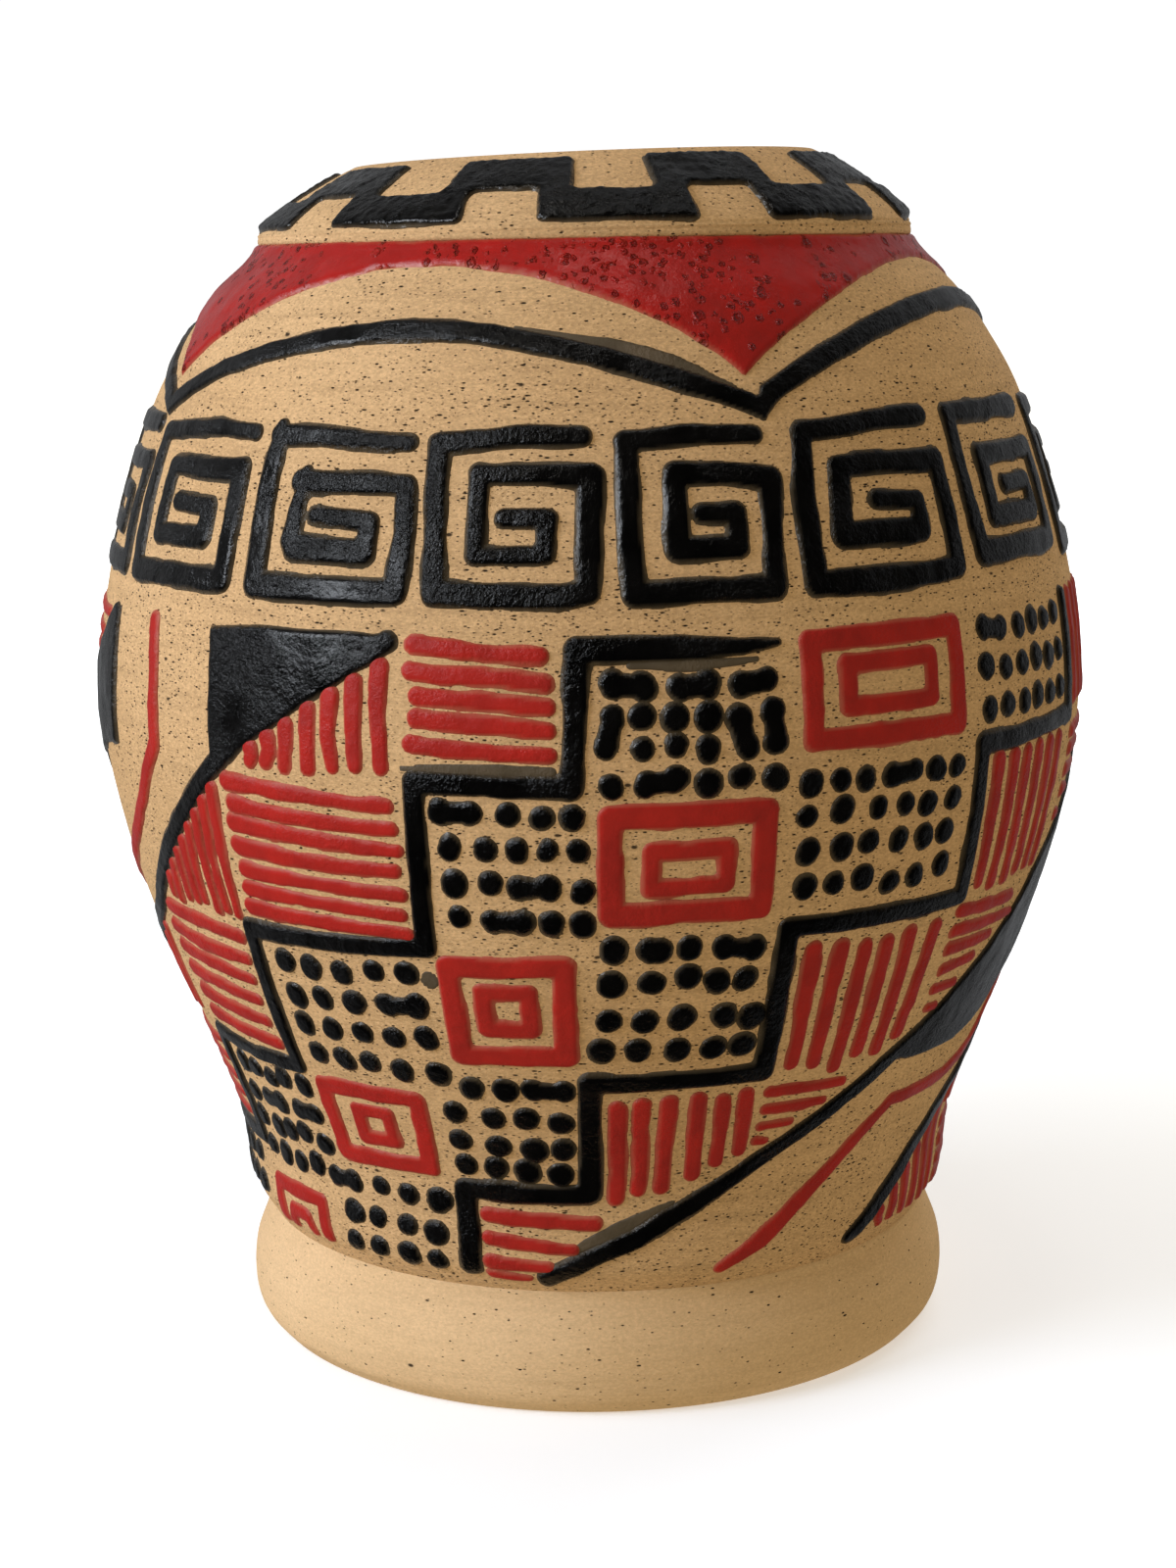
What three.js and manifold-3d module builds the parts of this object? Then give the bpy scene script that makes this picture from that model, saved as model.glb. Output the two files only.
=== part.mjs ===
// Hand-thrown pottery vase with a foot ring, a round belly, a broad shoulder and a closed-in collar.
// Millimetres, +Z up. The origin is the centre of the underside, and the front looks along -Y.
// Angles round the vase are degrees from the front towards +X.
// The clay is built up of eight sections. Every raised stroke of black or red slip is a piece of its own.
import * as THREE from 'three';
import { mergeVertices } from 'three/addons/utils/BufferGeometryUtils.js';
import Module from 'manifold-3d';

// Heights above the table
const footHeight = 20;
const waistRise = 4.5;
const bellyHeight = 110;
const ledgeHeight = 181.5;
const collarEdge = 1.5;
const collarRise = 12.5;

// Outside radii
const footRadius = 60.1;
const grooveRadius = 56.8;
const waistRadius = 59.3;
const bellyRadius = 82;
const ledgeRadius = 53.2;
const collarRadius = 53.6;
const rimRadius = 38.5;

// Clay thicknesses and the inside
const wallThickness = 6;
const collarThickness = 5.5;
const neckBore = 92;
const lipThickness = 4.2;
const lipCrown = 0.5;
const crownWidth = 1.5;
const crownBack = 3.15;
const neckDepth = 12;
const floorThickness = 7.5;
const footRecess = 6.5;
const recessRadius = 46;
const floorRadius = 50;

// Seams between the wall's sections, from the belly down and up, and from the ledge down
const lowerSeamDrop = 52;
const flareSeamDrop = 18;
const bellySeamRise = 16;
const neckSeamDrop = 27.5;

// How far the hand-made ledge and rim tip up towards +X, in degrees
const ledgeTilt = 0.25;
const rimTilt = 1.6;

// Raised slip
const slipThickness = 0.9;
const slipBevel = 0.5;
const blackStroke = 3.3;
const redStroke = 2.6;
const borderStroke = 3;
const scallopStroke = 2.7;
const hatchStroke = 2.3;
const threadStroke = 1.2;
const shortestBar = 2.5;

// Bands of ornament, from the ledge down to the foot: each starts a clearance below the one above
const redPeakDepth = 4.5;
const redPendantDepth = 19;
const scallopPeakGap = 6.35;
const scallopValleyGap = 3.85;
const spiralTopGap = 0.3;
const spiralRise = 21.5;
const panelTopGap = 4.85;
const panelFootGap = 3.2;

// Clearances between neighbouring pieces
const seatGap = 0.3;
const slipGap = 0.3;
const hatchGap = 0.5;

// Facets
const roundSegments = 54;
const floorSegments = 48;
const footStep = 3.3;
const collarStep = 2.5;
const levelStep = 10.5;
const flareStep = 7;
const insideStep = 20;
const coveStep = 2;
const ledgeCove = 10;
const strokeTurn = 8;
const strokeRise = 8;
const filledTurn = 6;
const filledRise = 6;
const slopeProbe = 0.5;
const redRows = 4;
const sailRows = 2;
const collarRows = 4;

const wasm = await Module();
wasm.setup();

const rimHeight = ledgeHeight + collarRise;
const waistHeight = footHeight + waistRise;
const lowerSeam = bellyHeight - lowerSeamDrop;
const flareSeam = bellyHeight - flareSeamDrop;
const bellySeam = bellyHeight + bellySeamRise;
const neckSeam = ledgeHeight - neckSeamDrop;
const floorLevel = footRecess + seatGap;
const floorTop = floorLevel + floorThickness;

// Middle lines of the strokes that bound the bands
const scallopPeak = ledgeHeight - redPeakDepth - scallopPeakGap - scallopStroke / 2;
const scallopValley = ledgeHeight - redPendantDepth - scallopValleyGap - scallopStroke / 2;
const spiralTop = scallopValley - scallopStroke / 2 - spiralTopGap - blackStroke / 2;
const spiralBottom = spiralTop - spiralRise;
const panelTop = spiralBottom - blackStroke / 2 - panelTopGap;
const panelBottom = footHeight + panelFootGap;

// Stations of the outline, as shares of the height and of the change in radius of each stretch
const footShape = [[0, 0.05], [0.14, 0.78], [0.35, 1], [0.57, 0.88], [0.78, 0.42], [0.93, 0.03], [1, 0]];
const swellShape = [[0.145, 0.08], [0.31, 0.3], [0.5, 0.587], [0.69, 0.82], [0.88, 0.969], [1, 1]];
const shoulderShape = [
  [0.19, 0.955], [0.42, 0.825], [0.65, 0.63], [0.77, 0.47], [0.88, 0.275], [0.965, 0.055], [1, 0],
];
const collarPower = 1.35;
const fullTurn = 360;

function outlineStretch(shape, lowHeight, highHeight, lowRadius, highRadius) {
  return shape.map(([rise, swell]) => [
    lowHeight + rise * (highHeight - lowHeight),
    lowRadius + swell * (highRadius - lowRadius),
  ]);
}

const outline = [
  ...outlineStretch(footShape, 0, footHeight, grooveRadius, footRadius),
  [waistHeight, waistRadius],
  ...outlineStretch(swellShape, waistHeight, bellyHeight, waistRadius, bellyRadius),
  ...outlineStretch(shoulderShape, bellyHeight, ledgeHeight, ledgeRadius, bellyRadius),
];

// Smooth curve through stations: cubic pieces with the slope of the neighbours at each station
function smoothThrough(stations, x) {
  const count = stations.length;
  const slopeAt = (i) => {
    const before = stations[Math.max(i - 1, 0)];
    const after = stations[Math.min(i + 1, count - 1)];
    return (after[1] - before[1]) / (after[0] - before[0]);
  };
  let i = 0;
  while (i < count - 2 && stations[i + 1][0] < x) {
    i += 1;
  }
  const width = stations[i + 1][0] - stations[i][0];
  const t = THREE.MathUtils.clamp((x - stations[i][0]) / width, 0, 1);
  const start = stations[i][1];
  const end = stations[i + 1][1];
  const startSlope = slopeAt(i) * width;
  const endSlope = slopeAt(i + 1) * width;
  return start * (1 + 2 * t) * (1 - t) ** 2
    + startSlope * t * (1 - t) ** 2
    + end * t ** 2 * (3 - 2 * t)
    + endSlope * t ** 2 * (t - 1);
}

function wallRadius(z) {
  return smoothThrough(outline, z);
}

// The collar rises straight for its edge, then curves in to the rim
function collarRadiusAt(z) {
  const slopeStart = ledgeHeight + collarEdge;
  const share = THREE.MathUtils.clamp((z - slopeStart) / (rimHeight - slopeStart), 0, 1);
  return collarRadius - (collarRadius - rimRadius) * share ** collarPower;
}

function slopeOf(radiusOf, z) {
  return (radiusOf(z + slopeProbe) - radiusOf(z - slopeProbe)) / (2 * slopeProbe);
}

function insideRadius(z) {
  return wallRadius(z) - wallThickness * Math.hypot(1, slopeOf(wallRadius, z));
}

// The tilt grows from nothing at the foot to the ledge's, then to the rim's
function tiltAt(z) {
  const wallShare = THREE.MathUtils.clamp((z - footHeight) / (ledgeHeight - footHeight), 0, 1);
  const collarShare = THREE.MathUtils.clamp((z - ledgeHeight) / collarRise, 0, 1);
  return THREE.MathUtils.degToRad(ledgeTilt * wallShare + (rimTilt - ledgeTilt) * collarShare);
}

function leaned(geometry) {
  const place = geometry.getAttribute('position');
  for (let i = 0; i < place.count; i += 1) {
    place.setZ(i, place.getZ(i) + place.getX(i) * Math.tan(tiltAt(place.getZ(i))));
  }
  return geometry;
}

// Materials
const clayColour = '#c8a578';
const footColour = '#d3b184';
const blackColour = '#17171a';
const redColour = '#9c1d1c';

function slipMaterial(colour) {
  return new THREE.MeshStandardMaterial({ color: colour, roughness: 0.42, metalness: 0 });
}

function clayMaterial(colour) {
  return new THREE.MeshStandardMaterial({ color: colour, roughness: 0.85, metalness: 0 });
}

const vase = new THREE.Group();

function addPiece(name, geometry, material) {
  const piece = new THREE.Mesh(geometry, material);
  piece.name = name;
  vase.add(piece);
}

// Clay sections, turned from a closed outline of [radius, height] points
function lathed(points, segments) {
  const closed = [...points, points[0]].map(([radius, height]) => new THREE.Vector2(radius, height));
  const geometry = new THREE.LatheGeometry(closed, segments);
  geometry.rotateX(Math.PI / 2);
  return leaned(geometry);
}

function levelsBetween(low, high, step) {
  const count = Math.max(1, Math.round((high - low) / step));
  return Array.from({ length: count + 1 }, (_, i) => low + (high - low) * i / count);
}

function footRing() {
  const topHeight = footHeight - seatGap / 2;
  const outside = levelsBetween(0, topHeight, footStep).map((z) => [wallRadius(z), z]);
  const bore = floorRadius + seatGap;
  const inside = [
    [bore, topHeight],
    [bore, footRecess],
    [recessRadius, footRecess],
    [recessRadius, 0],
  ];
  return lathed([...outside, ...inside], roundSegments);
}

function floorDisc() {
  const section = [[0, floorLevel], [floorRadius, floorLevel], [floorRadius, floorTop], [0, floorTop]];
  const points = section.map(([radius, height]) => new THREE.Vector2(radius, height));
  const geometry = new THREE.LatheGeometry(points, floorSegments);
  geometry.rotateX(Math.PI / 2);
  return geometry;
}

function outsidePoints(levels) {
  return levels.map((z) => [wallRadius(z), z]);
}

function insidePoints(low, high) {
  return levelsBetween(low, high, insideStep).reverse().map((z) => [insideRadius(z), z]);
}

// The lower wall flares from the groove above the foot
function lowerWall() {
  const low = footHeight + seatGap / 2;
  const high = lowerSeam - seatGap / 2;
  const levels = [
    ...levelsBetween(low, waistHeight, coveStep).slice(0, -1),
    ...levelsBetween(waistHeight, high, flareStep),
  ];
  const seat = grooveRadius - wallThickness;
  return lathed([...outsidePoints(levels), ...insidePoints(waistHeight, high), [seat, low]], roundSegments);
}

// A section between two seams, part of the round of the belly
function middleWall(lowSeam, highSeam) {
  const low = lowSeam + seatGap / 2;
  const high = highSeam - seatGap / 2;
  const levels = levelsBetween(low, high, levelStep);
  return lathed([...outsidePoints(levels), ...insidePoints(low, high)], roundSegments);
}

// The neck closes in to its bore, under the ledge
function neckWall() {
  const low = neckSeam + seatGap / 2;
  const high = ledgeHeight - seatGap / 2;
  const coveStart = high - ledgeCove;
  const levels = [
    ...levelsBetween(low, coveStart, levelStep).slice(0, -1),
    ...levelsBetween(coveStart, high, coveStep),
  ];
  const insideTop = ledgeHeight - neckDepth;
  const bore = neckBore / 2;
  return lathed([...outsidePoints(levels), [bore, high], ...insidePoints(low, insideTop)], roundSegments);
}

function neckCollar() {
  const low = ledgeHeight + seatGap / 2;
  const slopeStart = ledgeHeight + collarEdge;
  const slope = levelsBetween(slopeStart, rimHeight, collarStep);
  const outside = [[collarRadius, low], ...slope.map((z) => [collarRadiusAt(z), z])];
  const mouth = rimRadius - lipThickness;
  const crown = [
    [rimRadius - crownWidth, rimHeight + lipCrown],
    [rimRadius - crownBack, rimHeight],
    [mouth, rimHeight - lipThickness / 2],
  ];
  const bore = neckBore / 2;
  const throat = [[(mouth + bore) / 2, ledgeHeight + collarThickness], [bore, low]];
  return lathed([...outside, ...crown, ...throat], roundSegments);
}

addPiece('foot_ring', footRing(), clayMaterial(footColour));
addPiece('floor_disc', floorDisc(), clayMaterial(clayColour));
addPiece('lower_wall', lowerWall(), clayMaterial(clayColour));
addPiece('flare_wall', middleWall(lowerSeam, flareSeam), clayMaterial(clayColour));
addPiece('belly_wall', middleWall(flareSeam, bellySeam), clayMaterial(clayColour));
addPiece('shoulder_wall', middleWall(bellySeam, neckSeam), clayMaterial(clayColour));
addPiece('neck_wall', neckWall(), clayMaterial(clayColour));
addPiece('neck_collar', neckCollar(), clayMaterial(clayColour));

// A point on a clay surface, lifted off it along its normal
function liftedPoint(radiusOf, phi, z, lift) {
  const slope = slopeOf(radiusOf, z);
  const length = Math.hypot(1, slope);
  const radius = radiusOf(z) + lift / length;
  const angle = THREE.MathUtils.degToRad(phi);
  const height = z - lift * slope / length;
  return new THREE.Vector3(radius * Math.sin(angle), -radius * Math.cos(angle), height);
}

function signedVolume(points, faces) {
  let volume = 0;
  for (let i = 0; i < faces.length; i += 3) {
    const [a, b, c] = [points[faces[i]], points[faces[i + 1]], points[faces[i + 2]]];
    volume += a.dot(b.clone().cross(c)) / 6;
  }
  return volume;
}

// One closed body of slip between two grids of [angle, height]: the lower grid faces the clay.
// Grid rows run along the stroke, and joined rows close round on themselves.
function slipBody(lowerGrid, upperGrid, radiusOf, joined) {
  const points = [];
  const placed = (grid, lift) => grid.map((row) => row.map(([phi, z]) => {
    points.push(liftedPoint(radiusOf, phi, z, lift));
    return points.length - 1;
  }));
  const under = placed(lowerGrid, slipGap);
  const over = placed(upperGrid, slipGap + slipThickness);
  const faces = [];
  const addQuad = (a, b, c, d) => faces.push(a, b, c, a, c, d);
  const rows = under.length;
  const last = under[0].length - 1;
  const spans = joined ? rows : rows - 1;
  for (let i = 0; i < spans; i += 1) {
    const next = (i + 1) % rows;
    for (let j = 0; j < last; j += 1) {
      addQuad(over[i][j], over[next][j], over[next][j + 1], over[i][j + 1]);
      addQuad(under[i][j + 1], under[next][j + 1], under[next][j], under[i][j]);
    }
    addQuad(under[i][0], under[next][0], over[next][0], over[i][0]);
    addQuad(over[i][last], over[next][last], under[next][last], under[i][last]);
  }
  if (!joined) {
    const end = rows - 1;
    for (let j = 0; j < last; j += 1) {
      addQuad(under[0][j + 1], under[0][j], over[0][j], over[0][j + 1]);
      addQuad(under[end][j], under[end][j + 1], over[end][j + 1], over[end][j]);
    }
  }
  if (signedVolume(points, faces) < 0) {
    faces.reverse();
  }
  const geometry = new THREE.BufferGeometry().setFromPoints(points);
  geometry.setIndex(faces);
  geometry.computeVertexNormals();
  return leaned(geometry);
}

// Extra points along a path, so that no leg turns or rises too far for the round wall
function refined(path, joined) {
  const ends = joined ? [...path, path[0]] : path;
  const points = [ends[0]];
  for (let i = 1; i < ends.length; i += 1) {
    const [phiFrom, zFrom] = ends[i - 1];
    const [phiTo, zTo] = ends[i];
    const turns = Math.abs(phiTo - phiFrom) / strokeTurn;
    const rises = Math.abs(zTo - zFrom) / strokeRise;
    const steps = Math.max(1, Math.ceil(turns), Math.ceil(rises));
    for (let k = 1; k <= steps; k += 1) {
      points.push([phiFrom + (phiTo - phiFrom) * k / steps, zFrom + (zTo - zFrom) * k / steps]);
    }
  }
  if (joined) {
    points.pop();
  }
  return points;
}

// The two edges of a stroke of even width, mitred at its corners and measured on the wall
function strokeEdges(path, width, joined, turnsRound) {
  const count = path.length;
  return path.map(([phi, z], i) => {
    const alongPhi = wallRadius(z) * Math.PI / 180;
    const alongZ = Math.hypot(1, slopeOf(wallRadius, z));
    const unit = (from, to, wrap) => {
      const step = new THREE.Vector2((to[0] - from[0] + wrap) * alongPhi, (to[1] - from[1]) * alongZ);
      return step.normalize();
    };
    const hasBefore = joined || i > 0;
    const hasAfter = joined || i < count - 1;
    const before = hasBefore
      ? unit(path[(i - 1 + count) % count], path[i], i === 0 ? turnsRound : 0)
      : unit(path[i], path[i + 1], 0);
    const after = hasAfter
      ? unit(path[i], path[(i + 1) % count], i === count - 1 ? turnsRound : 0)
      : before;
    const mitre = new THREE.Vector2(-before.y - after.y, before.x + after.x).normalize();
    const reach = width / 2 / Math.max(0.5, mitre.dot(new THREE.Vector2(-before.y, before.x)));
    return [-1, 1].map((side) => [
      phi + side * reach * mitre.x / alongPhi,
      z + side * reach * mitre.y / alongZ,
    ]);
  });
}

function strokeBody(path, width, joined = false, turnsRound = 0) {
  const points = refined(path, joined && turnsRound === 0);
  const lower = strokeEdges(points, width, joined, turnsRound);
  const upper = strokeEdges(points, width - 2 * slipBevel, joined, turnsRound);
  return slipBody(lower, upper, wallRadius, joined);
}

// Extra stations, so that no span of a filled shape turns or rises too far for the round wall
function closeStations(stations) {
  const close = [stations[0]];
  for (let i = 1; i < stations.length; i += 1) {
    const from = stations[i - 1];
    const to = stations[i];
    const turns = Math.abs(to[0] - from[0]) / filledTurn;
    const rises = Math.max(Math.abs(to[1] - from[1]), Math.abs(to[2] - from[2])) / filledRise;
    const steps = Math.max(1, Math.ceil(turns), Math.ceil(rises));
    for (let k = 1; k <= steps; k += 1) {
      close.push(from.map((value, axis) => value + (to[axis] - value) * k / steps));
    }
  }
  return close;
}

// A filled shape between a lower and an upper edge: stations are [angle, low height, high height]
function filledBody(stations, acrossCount, radiusOf, joined = false) {
  const grid = stations.map(([phi, low, high]) => (
    Array.from({ length: acrossCount + 1 }, (_, j) => [phi, low + (high - low) * j / acrossCount])
  ));
  return slipBody(grid, grid, radiusOf, joined);
}

// Scalloped shoulder: four pendants of red with a black line swagged below them
const valleyAngles = [-66.5, 20, 113.5, 200];
const scallopPower = 0.9;
const redPower = 0.75;

function swag(phi, power) {
  const turn = THREE.MathUtils.euclideanModulo(phi - valleyAngles[0], fullTurn) + valleyAngles[0];
  const next = valleyAngles.findIndex((angle) => angle > turn);
  const right = next > 0 ? valleyAngles[next] : valleyAngles[0] + fullTurn;
  const left = next > 0 ? valleyAngles[next - 1] : valleyAngles[valleyAngles.length - 1];
  return Math.sin(Math.PI * (turn - left) / (right - left)) ** power;
}

function anglesRound() {
  const spans = valleyAngles.map((angle, i) => [angle, valleyAngles[i + 1] ?? valleyAngles[0] + fullTurn]);
  const perSpan = Math.round(roundSegments / valleyAngles.length);
  return spans.flatMap(([from, to]) => (
    Array.from({ length: perSpan }, (_, i) => from + (to - from) * i / perSpan)
  ));
}

function redScallops() {
  const top = ledgeHeight - seatGap * 1.5;
  const lowest = ledgeHeight - redPendantDepth;
  const stations = anglesRound().map((phi) => (
    [phi, lowest + (redPendantDepth - redPeakDepth) * swag(phi, redPower), top]
  ));
  return filledBody(stations, redRows, wallRadius, true);
}

function scallopLine() {
  const swing = scallopPeak - scallopValley;
  const path = anglesRound().map((phi) => [phi, scallopValley + swing * swag(phi, scallopPower)]);
  return strokeBody(path, scallopStroke, true, fullTurn);
}

addPiece('shoulder_red_scallops', redScallops(), slipMaterial(redColour));
addPiece('shoulder_scallop_line', scallopLine(), slipMaterial(blackColour));

// Battlement round the collar: one black band that steps round clay squares, above and below by turns
const lowerSquareAngles = [-53, -14, 25, 63.5, 104, 144.5, 185, 226, 266.5];
const lowerSquareTurn = 13;
const upperSquareTurn = 15;
const cornerTurn = 0.35;
const battlementStart = 2.2;
const battlementSplit = 7;
const battlementEnd = 11.7;

function battlement() {
  const low = ledgeHeight + battlementStart;
  const split = ledgeHeight + battlementSplit;
  const high = ledgeHeight + battlementEnd;
  const stations = lowerSquareAngles.flatMap((centre, i) => {
    const next = lowerSquareAngles[i + 1] ?? lowerSquareAngles[0] + fullTurn;
    const middle = (centre + next) / 2;
    const lowerEdge = lowerSquareTurn / 2;
    const upperEdge = upperSquareTurn / 2;
    return [
      [centre - lowerEdge + cornerTurn, split, high],
      [centre, split, high],
      [centre + lowerEdge - cornerTurn, split, high],
      [centre + lowerEdge + cornerTurn, low, high],
      [middle - upperEdge - cornerTurn, low, high],
      [middle - upperEdge + cornerTurn, low, split],
      [middle, low, split],
      [middle + upperEdge - cornerTurn, low, split],
      [middle + upperEdge + cornerTurn, low, high],
      [next - lowerEdge - cornerTurn, low, high],
    ];
  });
  return filledBody(stations, collarRows, collarRadiusAt, true);
}

addPiece('collar_battlement', battlement(), slipMaterial(blackColour));

// Square spirals: each is one stroke that winds inwards from its top bar
const frontSpirals = [[-62.8, 19.3], [-39, 19], [-16.5, 16.5], [4, 16.5], [24.2, 19.8], [48.5, 19.5]];
const spiralCount = 15;
const plainSpiralTurn = 20.4;
const innerShare = { left: 0.25, right: 0.76, end: 0.42, top: 0.735, bottom: 0.24, middle: 0.5 };
const topBarShare = 1.05;

function spiralPlaces() {
  const plainCount = spiralCount - frontSpirals.length;
  const first = frontSpirals[0][0];
  const last = frontSpirals[frontSpirals.length - 1][0];
  const pitch = (fullTurn + first - last) / (plainCount + 1);
  const plain = Array.from({ length: plainCount }, (_, i) => [last + pitch * (i + 1), plainSpiralTurn]);
  return [...frontSpirals, ...plain];
}

function spiral(left, width) {
  const at = (across, up) => [left + width * across, spiralBottom + spiralRise * up];
  return strokeBody([
    at(topBarShare, 1),
    at(0, 1),
    at(0, 0),
    at(1, 0),
    at(1, innerShare.top),
    at(innerShare.left, innerShare.top),
    at(innerShare.left, innerShare.bottom),
    at(innerShare.right, innerShare.bottom),
    at(innerShare.right, innerShare.middle),
    at(innerShare.end, innerShare.middle),
  ], blackStroke);
}

spiralPlaces().forEach(([left, width], i) => {
  const number = String(i + 1).padStart(2, '0');
  addPiece(`spiral_${number}`, spiral(left, width), slipMaterial(blackColour));
});

// Stepped panels. Points are [angle from the panel's middle, percent of the panel's height].
const upperSteps = [
  [19, 98.4], [-1.6, 98.4], [-1.6, 79.9], [-18.6, 79.9], [-18.6, 55],
  [-43, 55], [-43, 31.4], [-63.5, 31.4], [-63.5, 13.3], [-85, 13.3], [-85, 1.5],
];
const lowerSteps = [
  [67.5, 98.5], [67.5, 80.9], [45.3, 80.9], [45.3, 57], [21.5, 57], [21.5, 33.9],
  [-0.8, 33.9], [-0.8, 14.4], [-19.5, 14.4], [-19.5, 1],
];
const redGapLine = [
  [19.5, 0.6], [30, 8.5], [38, 14.9], [46, 22.9], [58, 23], [70, 26.5],
  [92, 48.5], [114, 65.4], [125.2, 80.8], [125, 90], [124.3, 99],
];
const squares = [
  { outer: [22, 43, 83, 99.5], inner: [26.8, 38.4, 87.2, 95.6] },
  { outer: [1, 19.5, 59.3, 77.2], inner: [5, 14.8, 64.3, 71.2] },
  { outer: [-17.5, -1.8, 36.8, 54.4], inner: [-13.6, -6, 41.4, 49.6] },
  { outer: [-40.2, -23, 15.2, 31], inner: [-35.2, -28, 19.4, 26.6] },
];
const archOuter = [[-61.7, 1], [-61.7, 7.6], [-46.5, 7.6], [-46.5, 1]];
const archInner = [[-57, 0.8], [-57, 3.4], [-51.5, 3.4], [-51.5, 0.8]];

// Left border: a thin sail at the top, then a line that falls to the foot
const leftSail = [[-20.5, 99], [-30, 92.2], [-39, 84.7], [-44, 79.8]];
const leftLine = [
  [-45, 78.4], [-55, 66.4], [-66, 53.6], [-77, 45.5], [-89, 36.6],
  [-101, 28.5], [-113, 19.5], [-125, 10.5], [-137, 1.5],
];

// Right border: a line that climbs from the foot, with a black sail below its upper half
const rightLine = [[-7.5, 0.5], [0, 4.1], [10, 9.6], [20, 15.8], [30, 22.5], [40, 29.6]];
const rightSail = [
  [42, 29.6, 33.2], [50, 30, 39.3], [58, 30.1, 46.6], [66, 32, 55], [74, 42, 63.4],
  [82, 53, 71.8], [90, 63.5, 80.2], [98, 73, 88], [106, 77, 95.2], [113, 78.8, 99.4],
];

// Hatching between the steps and each border: fields of bars, in order from one end of the side to the
// other. Bars across lie at percents from first to last and run between two angles. Upright bars stand
// at angles from first to last and run between two percents. A bar that meets the border stops short.
const leftFields = [
  { across: true, first: 98.8, last: 85.8, count: 5, from: -18.2, to: -4 },
  { across: false, first: -21.9, last: -35.4, count: 6, from: 81.2, to: 100 },
  { across: true, first: 76.8, last: 58.4, count: 7, from: -41.2, to: -20.9 },
  { across: false, first: -45.6, last: -58.2, count: 6, from: 58, to: 100 },
  { across: true, first: 52.8, last: 35, count: 6, from: -63.5, to: -45.5 },
  { across: false, first: -69, last: -86.5, count: 6, from: 36, to: 100 },
  { across: true, first: 30.2, last: 16.6, count: 5, from: -86, to: -66.8 },
  { across: false, first: -90, last: -107.5, count: 6, from: 15, to: 100 },
  { across: true, first: 11.2, last: 2, count: 4, from: -107, to: -87.8 },
  { across: false, first: -111.5, last: -126, count: 5, from: 2.2, to: 100 },
];
const rightFields = [
  { across: true, first: 9.6, last: 2.4, count: 3, from: -16.2, to: 0.5 },
  { across: false, first: 3.4, last: 19.3, count: 6, from: 12.4, to: 29.9 },
  { across: true, first: 29.6, last: 23.8, count: 3, from: 22.6, to: 180 },
  { across: false, first: 25.6, last: 42.6, count: 6, from: 32.6, to: 53.4 },
  { across: true, first: 53.6, last: 39.6, count: 5, from: 46.6, to: 180 },
  { across: false, first: 48.8, last: 66.3, count: 6, from: 58, to: 77.2 },
  { across: true, first: 77, last: 67.1, count: 4, from: 70.5, to: 180 },
  { across: false, first: 71, last: 87.6, count: 6, from: 82, to: 98 },
  { across: true, first: 98, last: 88, count: 4, from: 91, to: 180 },
];

function panelHeightAt(percent) {
  return panelBottom + (panelTop - panelBottom) * percent / 100;
}

function panelPath(points, turn) {
  return points.map(([phi, percent]) => [phi + turn, panelHeightAt(percent)]);
}

function squarePath([left, right, low, high], turn, width) {
  const insetUp = width / 2;
  const insetAcross = THREE.MathUtils.radToDeg(width / 2 / wallRadius(panelHeightAt((low + high) / 2)));
  const [from, to] = [left + insetAcross + turn, right - insetAcross + turn];
  const [bottom, top] = [panelHeightAt(low) + insetUp, panelHeightAt(high) - insetUp];
  return [[from, bottom], [to, bottom], [to, top], [from, top]];
}

// Vertical half-width of a line of the border's width where it slants from one point to another
function slantHalf(from, to) {
  const across = (to[0] - from[0]) * Math.PI / 180 * wallRadius(from[1]);
  const up = (to[1] - from[1]) * Math.hypot(1, slopeOf(wallRadius, from[1]));
  return borderStroke / 2 * Math.hypot(across, up) / Math.abs(across);
}

function slantStations(points) {
  return points.map((point, i) => {
    const [from, to] = i > 0 ? [points[i - 1], point] : [point, points[i + 1]];
    const half = slantHalf(from, to);
    return [point[0], point[1] - half, point[1] + half];
  });
}

function leftStations(turn) {
  const sail = panelPath(leftSail, turn).map(([phi, z]) => [phi, z - borderStroke / 2, panelTop]);
  const line = slantStations(refined(panelPath(leftLine, turn), false));
  return closeStations([...sail, ...line]).reverse();
}

function rightStations(turn) {
  const line = slantStations(refined(panelPath(rightLine, turn), false));
  const sail = rightSail.map(([phi, low, high]) => [phi + turn, panelHeightAt(low), panelHeightAt(high)]);
  return closeStations([...line, ...sail]);
}

// One column of rising stations read off against another, straight between neighbours
function readOff(stations, column, value, wanted) {
  const i = Math.max(1, stations.findIndex((station) => station[column] >= value));
  const [before, after] = [stations[i - 1], stations[i]];
  const share = (value - before[column]) / (after[column] - before[column]);
  return before[wanted] + THREE.MathUtils.clamp(share, 0, 1) * (after[wanted] - before[wanted]);
}

// The two ends of each bar of a field. The left border bounds bars from above, the right one from below.
const [angleColumn, lowColumn, highColumn] = [0, 1, 2];
const slantShare = 1.3;
const borderReach = hatchStroke / 2 * slantShare + hatchGap;

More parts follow.
